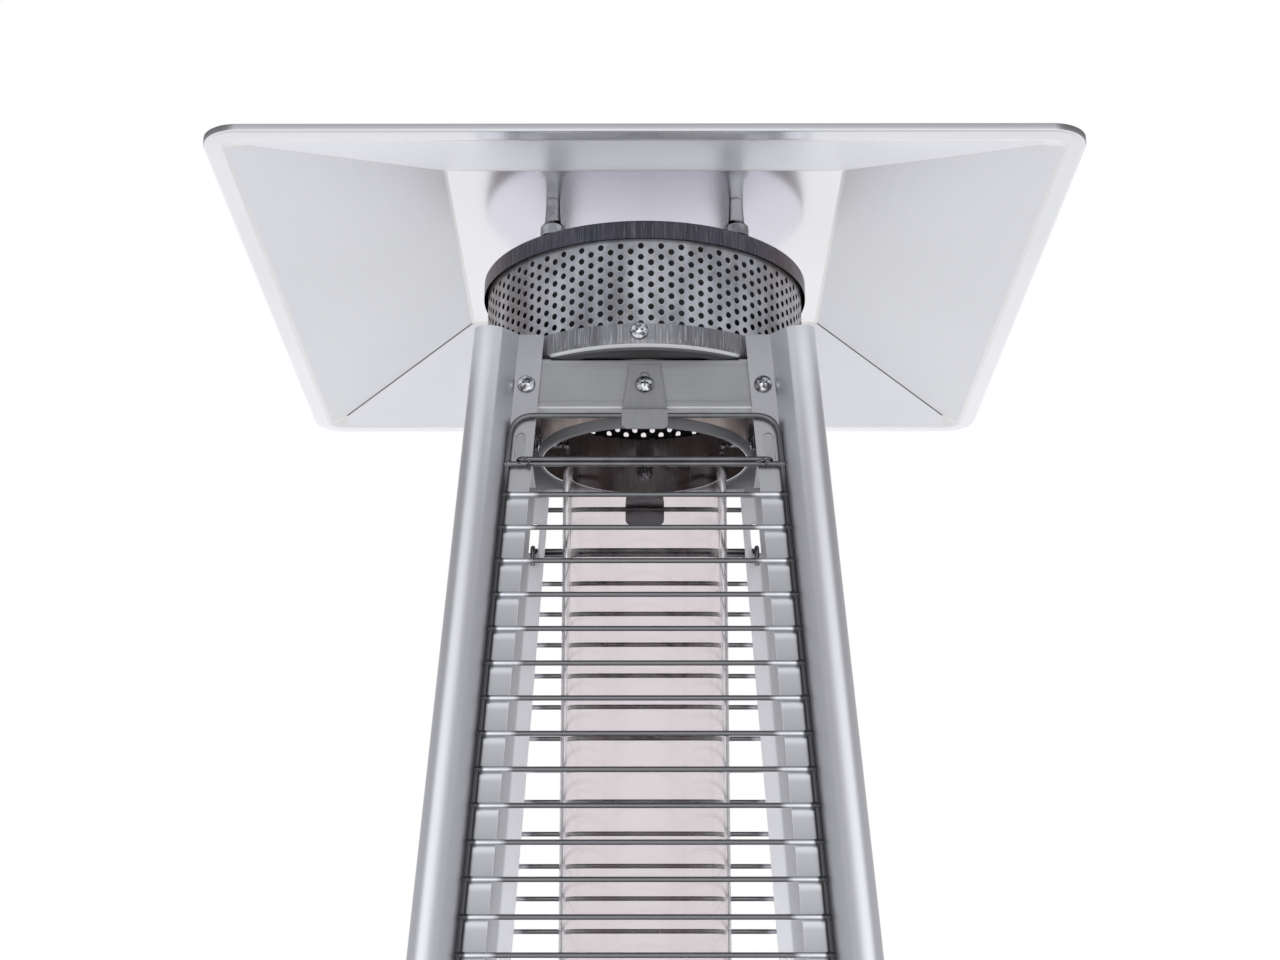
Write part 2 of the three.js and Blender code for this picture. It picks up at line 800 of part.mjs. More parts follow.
function doorPanel() {
  let door = overlayPan(doorBottomZ, doorTopZ);
  for (const z of hingeHeights) {
    const low = z + hingeEndGap;
    const edge = overlaySideInset + panelSheet;
    const notchTop = z + hingeLeafHeight / 2 + hingeNotchMargin;
    const notch = box(
      0, hingeLeafEdge + hingeNotchMargin, overlayBack - hingeLeafThickness - hingeNotchMargin,
      flangeDepth, 2 * z - notchTop, notchTop,
    );
    const knuckle = cut(
      join(
        leaningCylinder(hingeBarrelRadius, low, z + hingeBarrelLength),
        box(hingeIn, edge, overlayFront, overlayFront + panelSheet, low, z + hingeBarrelLength),
      ),
      leaningCylinder(hingePinRadius + runningGap, z - cutOverrun, z + hingeBarrelLength + cutOverrun),
    );
    door = join(cut(door, solid(geometryOf(notch, cornerToFace))), solid(geometryOf(knuckle, cornerToFace)));
  }
  return door;
}

function doorHandle() {
  const middle = doorBottomZ + (doorTopZ - doorBottomZ) * handleMidShare;
  const x = halfWidth(middle) - overlaySideInset - handleInset;
  const root = overlayFront - seatGap;
  const out = root - handleReach;
  const [low, high] = [middle - handleHeight / 2, middle + handleHeight / 2];
  return rod([
    [x, root, low],
    ...bend([x, out + handleBend, low + handleBend], [0, 0, -1], [0, -1, 0], handleBend),
    ...bend([x, out + handleBend, high - handleBend], [0, -1, 0], [0, 0, 1], handleBend),
    [x, root, high],
  ], handleRadius, handleSides);
}

function doorMagnet() {
  const z = (doorBottomZ + doorTopZ) / 2;
  const right = halfWidth(z) - overlaySideInset - overlayDepth / 2;
  const back = flangeDepth - seatGap;
  const half = magnetHeight / 2;
  return box(right - magnetWidth, right, back - magnetDepth, back, z - half, z + half);
}

place(model, 'control_panel', geometryOf(controlPanel(), faceToWorld), brushedSteel);
place(model, 'door_panel', geometryOf(doorPanel(), faceToWorld), brushedSteel);
place(model, 'door_handle', geometryOf(doorHandle(), faceToWorld), greySteel);
place(model, 'door_magnet', geometryOf(doorMagnet(), faceToWorld), greySteel);
place(model, 'door_hinge_lower', geometryOf(hingeHalf(hingeHeights[0]), cornerToWorld), greySteel);
place(model, 'door_hinge_upper', geometryOf(hingeHalf(hingeHeights[1]), cornerToWorld), greySteel);

// Gas valve with its stem and knob
const panelBack = -panelSheet - seatGap;

function gasValve() {
  const [w, h] = [valveWidth / 2, valveHeight / 2];
  const body = box(-w, w, -h, h, panelBack - valveDepth, panelBack);
  const inletY = -h - inletLength;
  const inletZ = panelBack - valveDepth / 2;
  const profile = [
    [0, 0], [inletRadius, 0], [inletRadius, inletLength - inletNutHeight],
    [inletNutRadius, inletLength - inletNutHeight], [inletNutRadius, inletLength + cutOverrun],
    [0, inletLength + cutOverrun],
  ];
  const inlet = turnedGeometry(profile, screwSides * 2).rotateX(-quarterTurn).translate(0, inletY, inletZ);
  const bore = cylinder(stemRadius + runningGap, panelBack - stemDepth - seatGap, 0, footSides);
  return cut(join(body, solid(inlet)), bore);
}

function controlKnob() {
  const [low, high] = [knobGap, knobGap + knobHeight];
  const grip = box(
    -knobGripWidth / 2, knobGripWidth / 2, -knobNoseRadius + knobGripHeight / 2,
    knobNoseRadius - knobGripHeight / 2, high - knobGripHeight, high + knobGripHeight,
  );
  const body = turned([
    [0, low], [knobRadius, low], [knobRadius, low + knobGripHeight / 2],
    [knobNoseRadius, low + knobGripHeight], [knobNoseRadius, high - knobGripHeight / 4],
    [knobNoseRadius - knobGripHeight / 4, high], [0, high],
  ], knobSides);
  const bore = cylinder(stemRadius + runningGap, low - cutOverrun, low + knobBoreDepth, footSides);
  return cut(join(body, grip), bore);
}

const valveFrame = fasciaFrame(knobX);
model.add(valveFrame);
place(valveFrame, 'gas_valve', geometryOf(gasValve()), brass);
place(valveFrame, 'valve_stem', geometryOf(
  cylinder(stemRadius, panelBack - stemDepth, stemReach, footSides),
), brass);
place(valveFrame, 'control_knob', geometryOf(controlKnob()), blackPlastic);

// Igniter: a barrel through the panel with a sprung button in its mouth
function igniterBody() {
  const mouth = -buttonDepth - buttonTravel - runningGap;
  const narrow = buttonStemRadius + runningGap;
  return turned([
    [igniterBoreRadius, igniterBezelHeight], [igniterBezelRadius, igniterBezelHeight / 2],
    [igniterBezelRadius, seatGap], [igniterBarrelRadius, seatGap], [igniterBarrelRadius, -igniterLength],
    [narrow, -igniterLength], [narrow, mouth], [igniterBoreRadius, mouth],
  ], buttonSides);
}

function igniterButton() {
  return turned([
    [0, -igniterLength / 2], [buttonStemRadius, -igniterLength / 2], [buttonStemRadius, -buttonDepth],
    [buttonRadius, -buttonDepth], [buttonRadius, buttonReach - buttonRadius / 4],
    [buttonRadius * 3 / 4, buttonReach], [0, buttonReach],
  ], buttonSides);
}

const igniterFrame = fasciaFrame(igniterX);
model.add(igniterFrame);
place(igniterFrame, 'igniter_body', geometryOf(igniterBody()), blackPlastic);
place(igniterFrame, 'igniter_button', geometryOf(igniterButton()), blackPlastic);

// Deck with air slots, glass seat, burner and pilot
function deckPlate() {
  const half = halfWidth(deckTopZ) - flangeDepth - flangeThickness - deckInset;
  const [low, high] = [deckZ - cutOverrun, deckTopZ + cutOverrun];
  const vents = [-deckVentRadius, deckVentRadius].map((x) => box(
    x - deckVentHeight / 2, x + deckVentHeight / 2, -deckVentWidth / 2, deckVentWidth / 2, low, high,
  ));
  return cut(
    box(-half, half, -half, half, deckZ, deckTopZ), cylinder(deckHoleRadius, low, high, knobSides), ...vents,
  );
}

function glassSeat() {
  const low = deckTopZ + seatGap;
  const wall = tubeRadius + tubeSideGap;
  return turned([
    [seatRingInner, low], [wall + seatRingWall, low], [wall + seatRingWall, low + seatRingHeight],
    [wall, low + seatRingHeight], [wall, low + seatRingWall], [seatRingInner, low + seatRingWall],
  ], knobSides);
}

function burner() {
  const low = deckTopZ + seatGap;
  const top = low + burnerHeight;
  const inner = burnerPipeRadius - burnerSheet;
  const body = turned([
    [inner, low - burnerPipeLength], [burnerPipeRadius, low - burnerPipeLength],
    [burnerNeckRadius, low - burnerShoulder], [burnerNeckRadius, low], [burnerFlangeRadius, low],
    [burnerFlangeRadius, low + burnerSheet], [burnerBodyRadius, low + burnerSheet],
    [burnerBodyRadius, top - burnerShoulder], [burnerNeckRadius, top], [burnerNeckRadius / 2, top],
    [burnerNeckRadius / 2, top - burnerSheet], [burnerBodyRadius - burnerSheet, top - burnerShoulder],
    [burnerBodyRadius - burnerSheet, low + burnerSheet], [inner, low],
  ], wheelSides);
  const ports = [];
  for (let i = 0; i < burnerPortCount; i++) {
    const port = new THREE.BoxGeometry(burnerBodyRadius, burnerPortWidth, burnerPortWidth * 2);
    port.translate(burnerBodyRadius, 0, top - burnerShoulder * 2);
    ports.push(solid(port.rotateZ((i + 0.5) * 4 * quarterTurn / burnerPortCount)));
  }
  return cut(body, ...ports);
}

function pilotBracket() {
  const low = deckTopZ + seatGap + burnerSheet + seatGap;
  const half = pilotFoot / 2;
  const root = low + burnerSheet / 2;
  return join(
    box(pilotX - half, pilotX + half, -half, half, low, low + burnerSheet),
    cylinder(pilotRodRadius, root, low + pilotHeight, screwSides, pilotX, -pilotRodSpread),
    cylinder(pilotRodRadius, root, low + pilotHeight * 3 / 4, screwSides, pilotX, pilotRodSpread),
  );
}

// Pipe from the back of the valve up into the mixing tube of the burner
function gasPipe() {
  const end = deckTopZ + seatGap - burnerPipeLength - seatGap;
  const valveCentre = new THREE.Vector3(0, 0, panelBack - valveDepth - seatGap * 2);
  valveFrame.updateMatrixWorld();
  const start = valveCentre.applyMatrix4(valveFrame.matrixWorld);
  const turnY = start.y / 2;
  return rod([
    [start.x, start.y, start.z],
    [start.x, start.y + gasPipeBend, start.z],
    [start.x / 2, turnY, (start.z + end) / 2 - gasPipeBend],
    [0, -gasPipeBend, end - gasPipeBend * 2],
    [0, 0, end - gasPipeBend],
    [0, 0, end],
  ], gasPipeRadius, handleSides);
}

place(model, 'deck_plate', geometryOf(deckPlate()), brushedSteel);
place(model, 'glass_seat', geometryOf(glassSeat()), greySteel);
place(model, 'burner', geometryOf(burner()), greySteel);
place(model, 'pilot_bracket', geometryOf(pilotBracket()), brushedSteel);
place(model, 'gas_pipe', geometryOf(gasPipe()), brass);
place(model, 'tilt_switch', geometryOf(box(
  tiltX - tiltWidth / 2, tiltX + tiltWidth / 2, tiltY - tiltDepth / 2, tiltY + tiltDepth / 2,
  deckZ - seatGap - tiltHeight, deckZ - seatGap,
)), blackPlastic);

// Glass tube, open at both ends
const glassTube = turned([
  [tubeRadius - tubeWall, tubeFootZ], [tubeRadius, tubeFootZ], [tubeRadius, tubeTopZ],
  [tubeRadius - tubeWall, tubeTopZ],
], ringSides);
place(model, 'glass_tube', geometryOf(glassTube), quartzGlass);

// Crossbars: channels behind the flanges, with the screws that hold them and the guard clip
function crossbar() {
  const front = crossbarFace;
  const back = front + crossbarDepth;
  const channel = lengthwise(outline([
    [front, crossbarFootZ], [back, crossbarFootZ], [back, crossbarFootZ + crossbarSheet],
    [front + crossbarSheet, crossbarFootZ + crossbarSheet],
    [front + crossbarSheet, crossbarTopZ - crossbarSheet], [back, crossbarTopZ - crossbarSheet],
    [back, crossbarTopZ], [front, crossbarTopZ],
  ]), -halfWidth(crossbarTopZ) + crossbarEndInset, halfWidth(crossbarTopZ) - crossbarEndInset);
  const ends = [-1, 1].flatMap((side) => [
    [crossbarTabHalf, floorHalfWidth, front + crossbarSheet, crossbarFootZ + crossbarDepth],
    [halfWidth(crossbarTopZ) - crossbarFoldInset, floorHalfWidth, front + crossbarSheet, 0],
    [crossbarTabHalf, crossbarNotchHalf, 0, panFloorZ - lipDrop - seatGap],
  ].map(([near, far, depth, zLow]) => box(
    Math.min(side * near, side * far), Math.max(side * near, side * far),
    depth, back + cutOverrun, zLow, crossbarTopZ + cutOverrun,
  )));
  const hole = studRadius + runningGap;
  const studHoles = [-studX, studX].map((x) => box(
    x - hole, x + hole, front + studDeep - hole, front + studDeep + hole,
    crossbarTopZ - crossbarDepth / 2, crossbarTopZ + cutOverrun,
  ));
  const screwX = halfWidth(crossbarScrewZ) - fixingLine;
  const reach = flangeThickness + 2 * seatGap + crossbarSheet / 2;
  const flangeScrews = [-screwX, screwX].map((x) => screw(x, flangeDepth - seatGap, crossbarScrewZ, reach));
  const clipSeat = clipSheet + 2 * seatGap;
  const clipScrew = screw(0, front - clipSeat, crossbarScrewZ, clipSeat + crossbarSheet / 2);
  return join(cut(channel, ...ends, ...studHoles), ...flangeScrews, clipScrew);
}

// Guard clips: a tapered plate with a slot, stepped forward over the top rod of the guard
function guardClip() {
  const back = crossbarFace - seatGap;
  const plateFront = back - clipSheet;
  const lipBack = guardDeep - guardRodRadius - seatGap;
  const shelfZ = crossbarFootZ - clipShelfDrop;
  const topZ = crossbarTopZ - clipTopDrop;
  const section = outline([
    [back, topZ], [plateFront, topZ], [plateFront, shelfZ + clipSheet],
    [lipBack - clipSheet, shelfZ + clipSheet], [lipBack - clipSheet, shelfZ - clipLip],
    [lipBack, shelfZ - clipLip], [lipBack, shelfZ], [back, shelfZ],
  ]);
  const [top, foot] = [clipTopWidth / 2, clipFootWidth / 2];
  const taper = outline([
    [-foot, shelfZ - clipLip - cutOverrun], [foot, shelfZ - clipLip - cutOverrun], [foot, shelfZ],
    [top, topZ + cutOverrun], [-top, topZ + cutOverrun], [-foot, shelfZ],
  ]);
  const half = clipSlotWidth / 2;
  const [low, high] = [crossbarScrewZ - clipSlotDown, crossbarScrewZ + clipSlotUp];
  const slot = outline([
    [-half, low], [0, low - half], [half, low], [half, high], [0, high + half], [-half, high],
  ]);
  return cut(
    lengthwise(section, -foot, foot).intersect(plate(taper, 0, crossbarFace)),
    plate(slot, plateFront - seatGap, clipSheet + 2 * seatGap),
  );
}

// Guards: a rod frame with cross wires; its feet go back through the post flanges, and a hook rod hangs it
const hookBack = flangeDepth + flangeThickness + hookDeep;

function hookRod() {
  const z = hookRodZ;
  const x = halfWidth(z) - fixingLine;
  const half = (side) => [
    [side * x, hookBack, z - hookTail],
    ...bend([side * x, hookBack - hookBend, z - hookBend], [0, 1, 0], [0, 0, 1], hookBend, 1),
    ...bend([side * (x - hookBend), guardDeep + hookBend, z], [side, 0, 0], [0, -1, 0], hookBend, 1),
  ];
  return rod([...half(-1), ...half(1).reverse()], guardRodRadius, guardSides);
}

function wireGuard() {
  const legX = (z) => halfWidth(z) - guardLegInset;
  const top = legX(guardTopZ);
  const r = guardCornerRadius;
  const start = guardTopZ - r;
  const foot = [0, guardDeep + hookBend, guardBottomZ + hookBend];
  const side = (sign) => [
    [sign * legX(guardBottomZ), hookBack, guardBottomZ],
    ...bend(foot, [0, 0, -1], [0, -1, 0], hookBend, 1).map(([, y, z]) => [sign * legX(z), y, z]),
    ...bend([sign * (top - r), guardDeep, start], [sign, 0, 0], [0, 0, 1], r),
  ];
  let guard = rod([...side(-1), ...side(1).reverse()], guardRodRadius, guardSides);
  const wire = (z) => {
    const x = legX(z);
    guard = guard.add(rod([[-x, guardDeep, z], [x, guardDeep, z]], guardWireRadius, wireSides));
  };
  wire(hookRodZ - hookWireDrop);
  for (let z = guardTopZ - firstWireDrop; z > guardBottomZ + hookBend; z -= wirePitch) wire(z);
  return join(guard, hookRod());
}

const facePlaces = ['front', 'right', 'back', 'left'];
const crossbarGeometry = geometryOf(crossbar(), faceToWorld);
const clipGeometry = geometryOf(guardClip(), faceToWorld);
const guardGeometry = geometryOf(wireGuard(), faceToWorld);
const panelGeometry = geometryOf(ventedPanel(), faceToWorld);
facePlaces.forEach((face, turn) => {
  const group = new THREE.Group();
  group.rotation.z = turn * quarterTurn;
  model.add(group);
  place(group, `crossbar_${face}`, crossbarGeometry, greySteel);
  place(group, `guard_clip_${face}`, clipGeometry, greySteel);
  place(group, `wire_guard_${face}`, guardGeometry, chromedWire);
  if (face !== 'front') place(group, `${face}_panel`, panelGeometry, brushedSteel);
});

// Head pan: collar round the glass, floor on the crossbars, rolled lip and band, studs with nuts
function headPan() {
  const s = headSheet;
  const body = turned([
    [collarInner, collarFootZ], [collarInner + s, collarFootZ], [collarInner + s, panFloorZ],
    [panFloorRadius, panFloorZ], [lipLow, panFloorZ - lipDrop], [lipHigh, panFloorZ - lipDrop],
    [bandRadius, bandFootZ], [bandRadius, bandFootZ + bandHeight], [bandRadius - s, bandFootZ + bandHeight],
    [bandRadius - s, bandFootZ], [lipHigh - s / 2, panFloorZ - lipDrop + s],
    [lipLow + s / 2, panFloorZ - lipDrop + s], [panFloorRadius + s / 2, panTopZ], [collarInner, panTopZ],
  ], headSides);
  const y = crossbarFace + studDeep - halfWidth(crossbarTopZ);
  const nutTop = crossbarTopZ - crossbarSheet - seatGap;
  const stud = [
    [0, panFloorZ + s / 2], [studRadius, panFloorZ + s / 2], [studRadius, nutTop],
    [studNutRadius, nutTop], [studNutRadius, nutTop - studNutHeight], [0, nutTop - studNutHeight],
  ];
  const studs = [];
  for (let turn = 0; turn < 4; turn++) {
    for (const x of [-studX, studX]) {
      const geometry = turnedGeometry(stud, screwSides).translate(x, y, 0).rotateZ(turn * quarterTurn);
      studs.push(solid(geometry));
    }
  }
  return join(body, ...studs);
}

// Flame screen: a cylinder with staggered diamond holes
function flameScreen() {
  const top = screenFootZ + screenHeight;
  let screen = turned([
    [screenRadius - screenSheet, screenFootZ], [screenRadius, screenFootZ],
    [screenRadius, top], [screenRadius - screenSheet, top],
  ], headSides);
  const rowPitch = (screenHeight - 2 * screenMargin) / (screenRows - 1);
  for (let row = 0; row < screenRows; row++) {
    for (let column = 0; column < screenColumns; column++) {
      const hole = new THREE.CylinderGeometry(screenHoleRadius, screenHoleRadius, screenMargin, 4);
      hole.rotateZ(quarterTurn).translate(screenRadius, 0, screenFootZ + screenMargin + row * rowPitch);
      const step = column * 2 + (row % 2) + 0.5;
      screen = screen.subtract(solid(hole.rotateZ(step * 2 * quarterTurn / screenColumns)));
    }
  }
  return screen;
}

function headCap() {
  const skirtFoot = capTopZ - capWall;
  return turned([
    [0, capZ], [capRadius - capSheet, capZ], [capRadius - capSheet, skirtFoot], [capRadius, skirtFoot],
    [capRadius, capTopZ - capSheet / 2], [capRadius - capSheet / 2, capTopZ], [0, capTopZ],
  ], headSides);
}

place(model, 'head_pan', geometryOf(headPan()), greySteel);
place(model, 'flame_screen', geometryOf(flameScreen()), heatedSteel);
place(model, 'head_cap', geometryOf(headCap()), heatedSteel);

// Hood: a folded square reflector, drawn as rings of a rounded square from the middle out and back
function squareRing(half, radius, z) {
  const points = [];
  for (let corner = 0; corner < 4; corner++) {
    const centre = new THREE.Vector2(half - radius, half - radius);
    for (let step = 0; step <= hoodCornerSteps; step++) {
      const angle = quarterTurn * step / hoodCornerSteps;
      const point = new THREE.Vector2(Math.cos(angle), Math.sin(angle)).multiplyScalar(radius).add(centre);
      point.rotateAround(new THREE.Vector2(), corner * quarterTurn);
      points.push([point.x, point.y, z]);
    }
  }
  return points;
}

function ringLoft(rings) {
  const count = rings[0].length;
  const places = rings.flat(2);
  const corners = [];
  for (let ring = 0; ring + 1 < rings.length; ring++) {
    for (let i = 0; i < count; i++) {
      const [a, b] = [ring * count + i, ring * count + (i + 1) % count];
      corners.push(a, b, b + count, a, b + count, a + count);
    }
  }
  for (const [ring, flip] of [[0, true], [rings.length - 1, false]]) {
    const first = ring * count;
    for (let i = 1; i + 1 < count; i++) {
      corners.push(first, first + (flip ? i + 1 : i), first + (flip ? i : i + 1));
    }
  }
  const geometry = new THREE.BufferGeometry();
  geometry.setAttribute('position', new THREE.Float32BufferAttribute(places, 3));
  geometry.setIndex(corners);
  return geometry;
}

function hood() {
  const rimZ = hoodTopZ - hoodRise;
  const s = hoodSheet;
  const shell = solid(ringLoft([
    squareRing(hoodTopHalf, hoodTopRadius, hoodTopZ),
    squareRing(hoodSlopeHalf, hoodSlopeRadius, rimZ),
    squareRing(hoodRimHalf - hoodRimRoll, hoodRimRadius - hoodRimRoll, rimZ),
    squareRing(hoodRimHalf, hoodRimRadius, rimZ + hoodRimRoll),
    squareRing(hoodRimHalf, hoodRimRadius, rimZ + hoodHem),
    squareRing(hoodRimHalf - s, hoodRimRadius - s, rimZ + hoodHem),
    squareRing(hoodRimHalf - s, hoodRimRadius - s, rimZ + hoodRimRoll),
    squareRing(hoodRimHalf - 2 * s, hoodRimRadius - 2 * s, rimZ + s),
    squareRing(hoodSlopeHalf, hoodSlopeRadius, rimZ + s),
    squareRing(hoodTopHalf, hoodTopRadius, hoodTopZ + s),
  ]));
  const holes = [];
  for (const x of [-spacerX, spacerX]) {
    for (const y of [-spacerY, spacerY]) {
      holes.push(cylinder(spacerStudHole, hoodTopZ - cutOverrun, hoodTopZ + cutOverrun, spacerSides, x, y));
    }
  }
  return cut(shell, ...holes);
}

// Spacers: collar, flare and stem on the cap, with the stud and dome nut that hold the hood
const spacerFoot = capTopZ + seatGap;
const spacerTop = spacerFoot + spacerHeight;
const nutFoot = hoodTopZ + hoodSheet + seatGap;
const spacerGeometry = geometryOf(turned([
  [0, spacerFoot], [spacerCollarRadius, spacerFoot],
  [spacerCollarRadius, spacerFoot + spacerCollarHeight / 2],
  [spacerFlareRadius, spacerFoot + spacerCollarHeight],
  [spacerWaistRadius, spacerFoot + spacerCollarHeight + spacerFlareHeight],
  [spacerTopRadius, spacerTop], [spacerStudRadius, spacerTop], [spacerStudRadius, nutFoot],
  [domeNutRadius, nutFoot], [domeNutRadius, nutFoot + domeNutHeight / 2],
  [domeNutTopRadius, nutFoot + domeNutHeight], [0, nutFoot + domeNutHeight],
], spacerSides));
place(model, 'hood', geometryOf(hood()), brushedSteel);
for (const [name, x, y] of [
  ['front_left', -spacerX, -spacerY], ['front_right', spacerX, -spacerY],
  ['back_right', spacerX, spacerY], ['back_left', -spacerX, spacerY],
]) {
  place(model, `hood_spacer_${name}`, spacerGeometry, brushedSteel).position.set(x, y, 0);
}

export default model;
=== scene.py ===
"""Pyramid patio heater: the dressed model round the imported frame.

Lengths are millimetres in this script and become metres when a mesh is made. +Z is up, the front faces -Y.
"""

import random
from math import atan, atan2, cos, hypot, pi, radians, sin, sqrt

import bmesh
import bpy
from mathutils import Matrix, Vector
from mathutils.geometry import tessellate_polygon


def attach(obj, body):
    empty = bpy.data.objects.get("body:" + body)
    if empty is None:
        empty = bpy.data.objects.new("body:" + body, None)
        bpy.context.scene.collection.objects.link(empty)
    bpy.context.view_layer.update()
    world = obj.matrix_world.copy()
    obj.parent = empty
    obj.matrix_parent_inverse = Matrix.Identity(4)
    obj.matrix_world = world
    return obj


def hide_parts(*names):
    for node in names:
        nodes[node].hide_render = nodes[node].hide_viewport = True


MM = 0.001
QUARTER = pi / 2
CORNERS = ("front_left", "front_right", "back_right", "back_left")
FACES = ("front", "right", "back", "left")

# The camera first: the photograph's viewing angle, low in front and looking up
camera_data = bpy.data.cameras.new("camera")
camera_data.lens = 64.04
camera_data.sensor_width = 36
camera_data.clip_start = 0.01
camera = bpy.data.objects.new("camera", camera_data)
camera.location = (0, -1.323, 1.6645)
camera.rotation_euler = (radians(108.4), 0, 0.0022)
bpy.context.scene.collection.objects.link(camera)
bpy.context.scene.camera = camera

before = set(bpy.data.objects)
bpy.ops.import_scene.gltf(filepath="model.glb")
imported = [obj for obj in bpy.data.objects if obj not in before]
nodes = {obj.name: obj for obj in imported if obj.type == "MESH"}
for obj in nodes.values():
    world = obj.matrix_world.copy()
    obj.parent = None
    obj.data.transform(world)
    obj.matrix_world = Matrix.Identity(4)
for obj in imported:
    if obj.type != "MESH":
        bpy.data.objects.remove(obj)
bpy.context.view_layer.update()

# The pyramid: outermost planes of the posts, and heights
FLOOR_HALF = 251.3
TOP_HALF = 99
POST_TOP = 2166.5
LEAN = (FLOOR_HALF - TOP_HALF) / POST_TOP
POST_FOOT = 35.8
POST_SPLIT = 850
SPLIT_GAP = 0.3

# The guards' places, which the holes in the posts and the painted reflections of the wires on their flanges
# follow
LEG_INSET = 27.5
HOOK_INSET = 32.5
GUARD_TOP = 2113.9
GUARD_FOOT = 870.3
TOP_WIRE = GUARD_TOP - 49
WIRE_PITCH = 20
WIRE_REFLECTION_SPAN = (880, TOP_WIRE + 1.1)


def half_width(z):
    return FLOOR_HALF - LEAN * z


def on_face(x, w, z):
    """Front face: x across, w inwards from the outermost plane, z height."""
    return (x, w - half_width(z), z)


def on_corner(p, q, z):
    """Front left post: p and q inwards from the two outermost planes, z height."""
    return (p - half_width(z), q - half_width(z), z)


# Materials


class Nodes:
    """The nodes of one shader tree, made and joined by short calls."""

    def __init__(self, tree):
        self.tree = tree

    def feed(self, socket, value):
        if isinstance(value, bpy.types.NodeSocket):
            self.tree.links.new(value, socket)
        else:
            socket.default_value = (*value, 1) if socket.type == "RGBA" else value

    def add(self, kind, inputs=(), **settings):
        """A node with its settings, and its inputs by name or in order. Gives back its outputs."""
        node = self.tree.nodes.new("ShaderNode" + kind)
        for name, value in settings.items():
            setattr(node, name, value)
        for key, value in inputs.items() if isinstance(inputs, dict) else enumerate(inputs):
            self.feed(node.inputs[key], value)
        return node.outputs

    def maths(self, operation, *values):
        return self.add("Math", values, operation=operation)[0]

    def spread(self, value, low, high, start=0.3, end=0.7, kind="LINEAR"):
        """From low to high while the value goes from start to end."""
        limits = {"From Min": start, "From Max": end, "To Min": low, "To Max": high}
        return self.add("MapRange", {"Value": value, **limits}, interpolation_type=kind)["Result"]

    def ramp(self, value, stops, kind="LINEAR"):
        """A colour read off along a row of stops."""
        node = self.tree.nodes.new("ShaderNodeValToRGB")
        node.color_ramp.interpolation = kind
        elements = node.color_ramp.elements
        while len(elements) < len(stops):
            elements.new(0.5)
        for element, (place, colour) in zip(elements, stops):
            element.position = place
            element.color = (*colour, 1)
        self.feed(node.inputs[0], value)
        return node.outputs["Color"]

    def levels(self, value, stops):
        """A grey level read off along a row of stops."""
        return self.ramp(value, [(place, (level,) * 3) for place, level in stops], "EASE")

    def seen(self):
        """One where the eye looks, straight or through glass, else zero."""
        path = self.add("LightPath")
        return self.maths("MAXIMUM", path["Is Camera Ray"], path["Is Transmission Ray"])

    def reflected(self):
        return self.add("LightPath")["Is Glossy Ray"]


class Look(Nodes):
    """A procedural material: one principled shader whose inputs vary over the surface."""

    def __init__(self, name, metallic, roughness, **sockets):
        self.material = bpy.data.materials.new(name)
        self.material.use_nodes = True
        super().__init__(self.material.node_tree)
        self.inputs = self.tree.nodes["Principled BSDF"].inputs
        self.set(Metallic=metallic, Roughness=roughness, **sockets)
        self.coordinates = self.add("TexCoord")["Object"]

    def set(self, **sockets):
        """Inputs of the shader by name, with an underscore for a space."""
        for name, value in sockets.items():
            self.feed(self.inputs[name.replace("_", " ")], value)

    def plain(self):
        """The colour so far."""
        return self.inputs["Base Color"].links[0].from_socket

    def noise(self, scale, detail=3, roughness=0.5, distortion=0):
        """Noise over the object's own metres; a scale of three numbers stretches it."""
        scale = scale if isinstance(scale, tuple) else (scale,) * 3
        place = self.add("Mapping", {"Vector": self.coordinates, "Scale": scale})["Vector"]
        grain = {"Scale": 1, "Detail": detail, "Roughness": roughness, "Distortion": distortion}
        return self.add("TexNoise", {"Vector": place, **grain})["Fac"]

    def axes(self):
        """The object's own x, y and z in metres."""
        return self.add("SeparateXYZ", [self.coordinates])

    def half_width(self, z, inset=0):
        """Half the pyramid's width at a height, in metres, less an inset in millimetres."""
        return self.maths("MULTIPLY_ADD", z, -LEAN, (FLOOR_HALF - inset) * MM)

    def fade(self, value, low, high, start=0.3, end=0.7):
        """From one colour to another."""
        return self.ramp(value, [(start, low), (end, high)])

    def mix(self, share, a, b):
        return self.add("Mix", {"Factor": share, "A": a, "B": b}, data_type="RGBA")["Result"]

    def over(self, value, share, base, other, start=0.3, end=0.7):
        """The other colour over the base, up to that share where the value is high."""
        return self.mix(self.spread(value, 0, share, start, end), base, other)

    def worked(self, lines, clouds, low, high, other, rough, share=0.3, relief=0.012):
        """Clouds from one tone to another, and over them fine lines that also stand out a little."""
        colour = self.over(lines, share, self.fade(clouds, low, high), other)
        self.set(Base_Color=colour, Roughness=self.spread(clouds, *rough))
        return self.bump(lines, relief)

    def bump(self, value, depth):
        """Relief of that depth in millimetres; several calls add up."""
        normal = self.inputs["Normal"]
        inputs = {"Strength": 1, "Distance": depth * MM, "Height": value}
        if normal.is_linked:
            inputs["Normal"] = normal.links[0].from_socket
        self.feed(normal, self.add("Bump", inputs)["Normal"])
        return self


def grey(level, warmth=0.0):
    """A linear grey, slightly blue as steel is, or warmer."""
    return (level * (0.985 + warmth), level, level * (1.055 - warmth))


def satin_aluminium(name="satin_aluminium", level=0.84, metallic=0.95):
    look = Look(name, metallic, 0.34)
    look.bump(look.noise((2600, 2600, 700), 2), 0.003)
    streaks, clouds = look.noise((260, 260, 2.5), 4, 0.6), look.noise((14, 14, 4))
    tones = grey(level * 0.93, 0.01), grey(level), grey(level * 0.7)
    return look.worked(streaks, clouds, *tones, (0.32, 0.38), 0.08, 0.002)


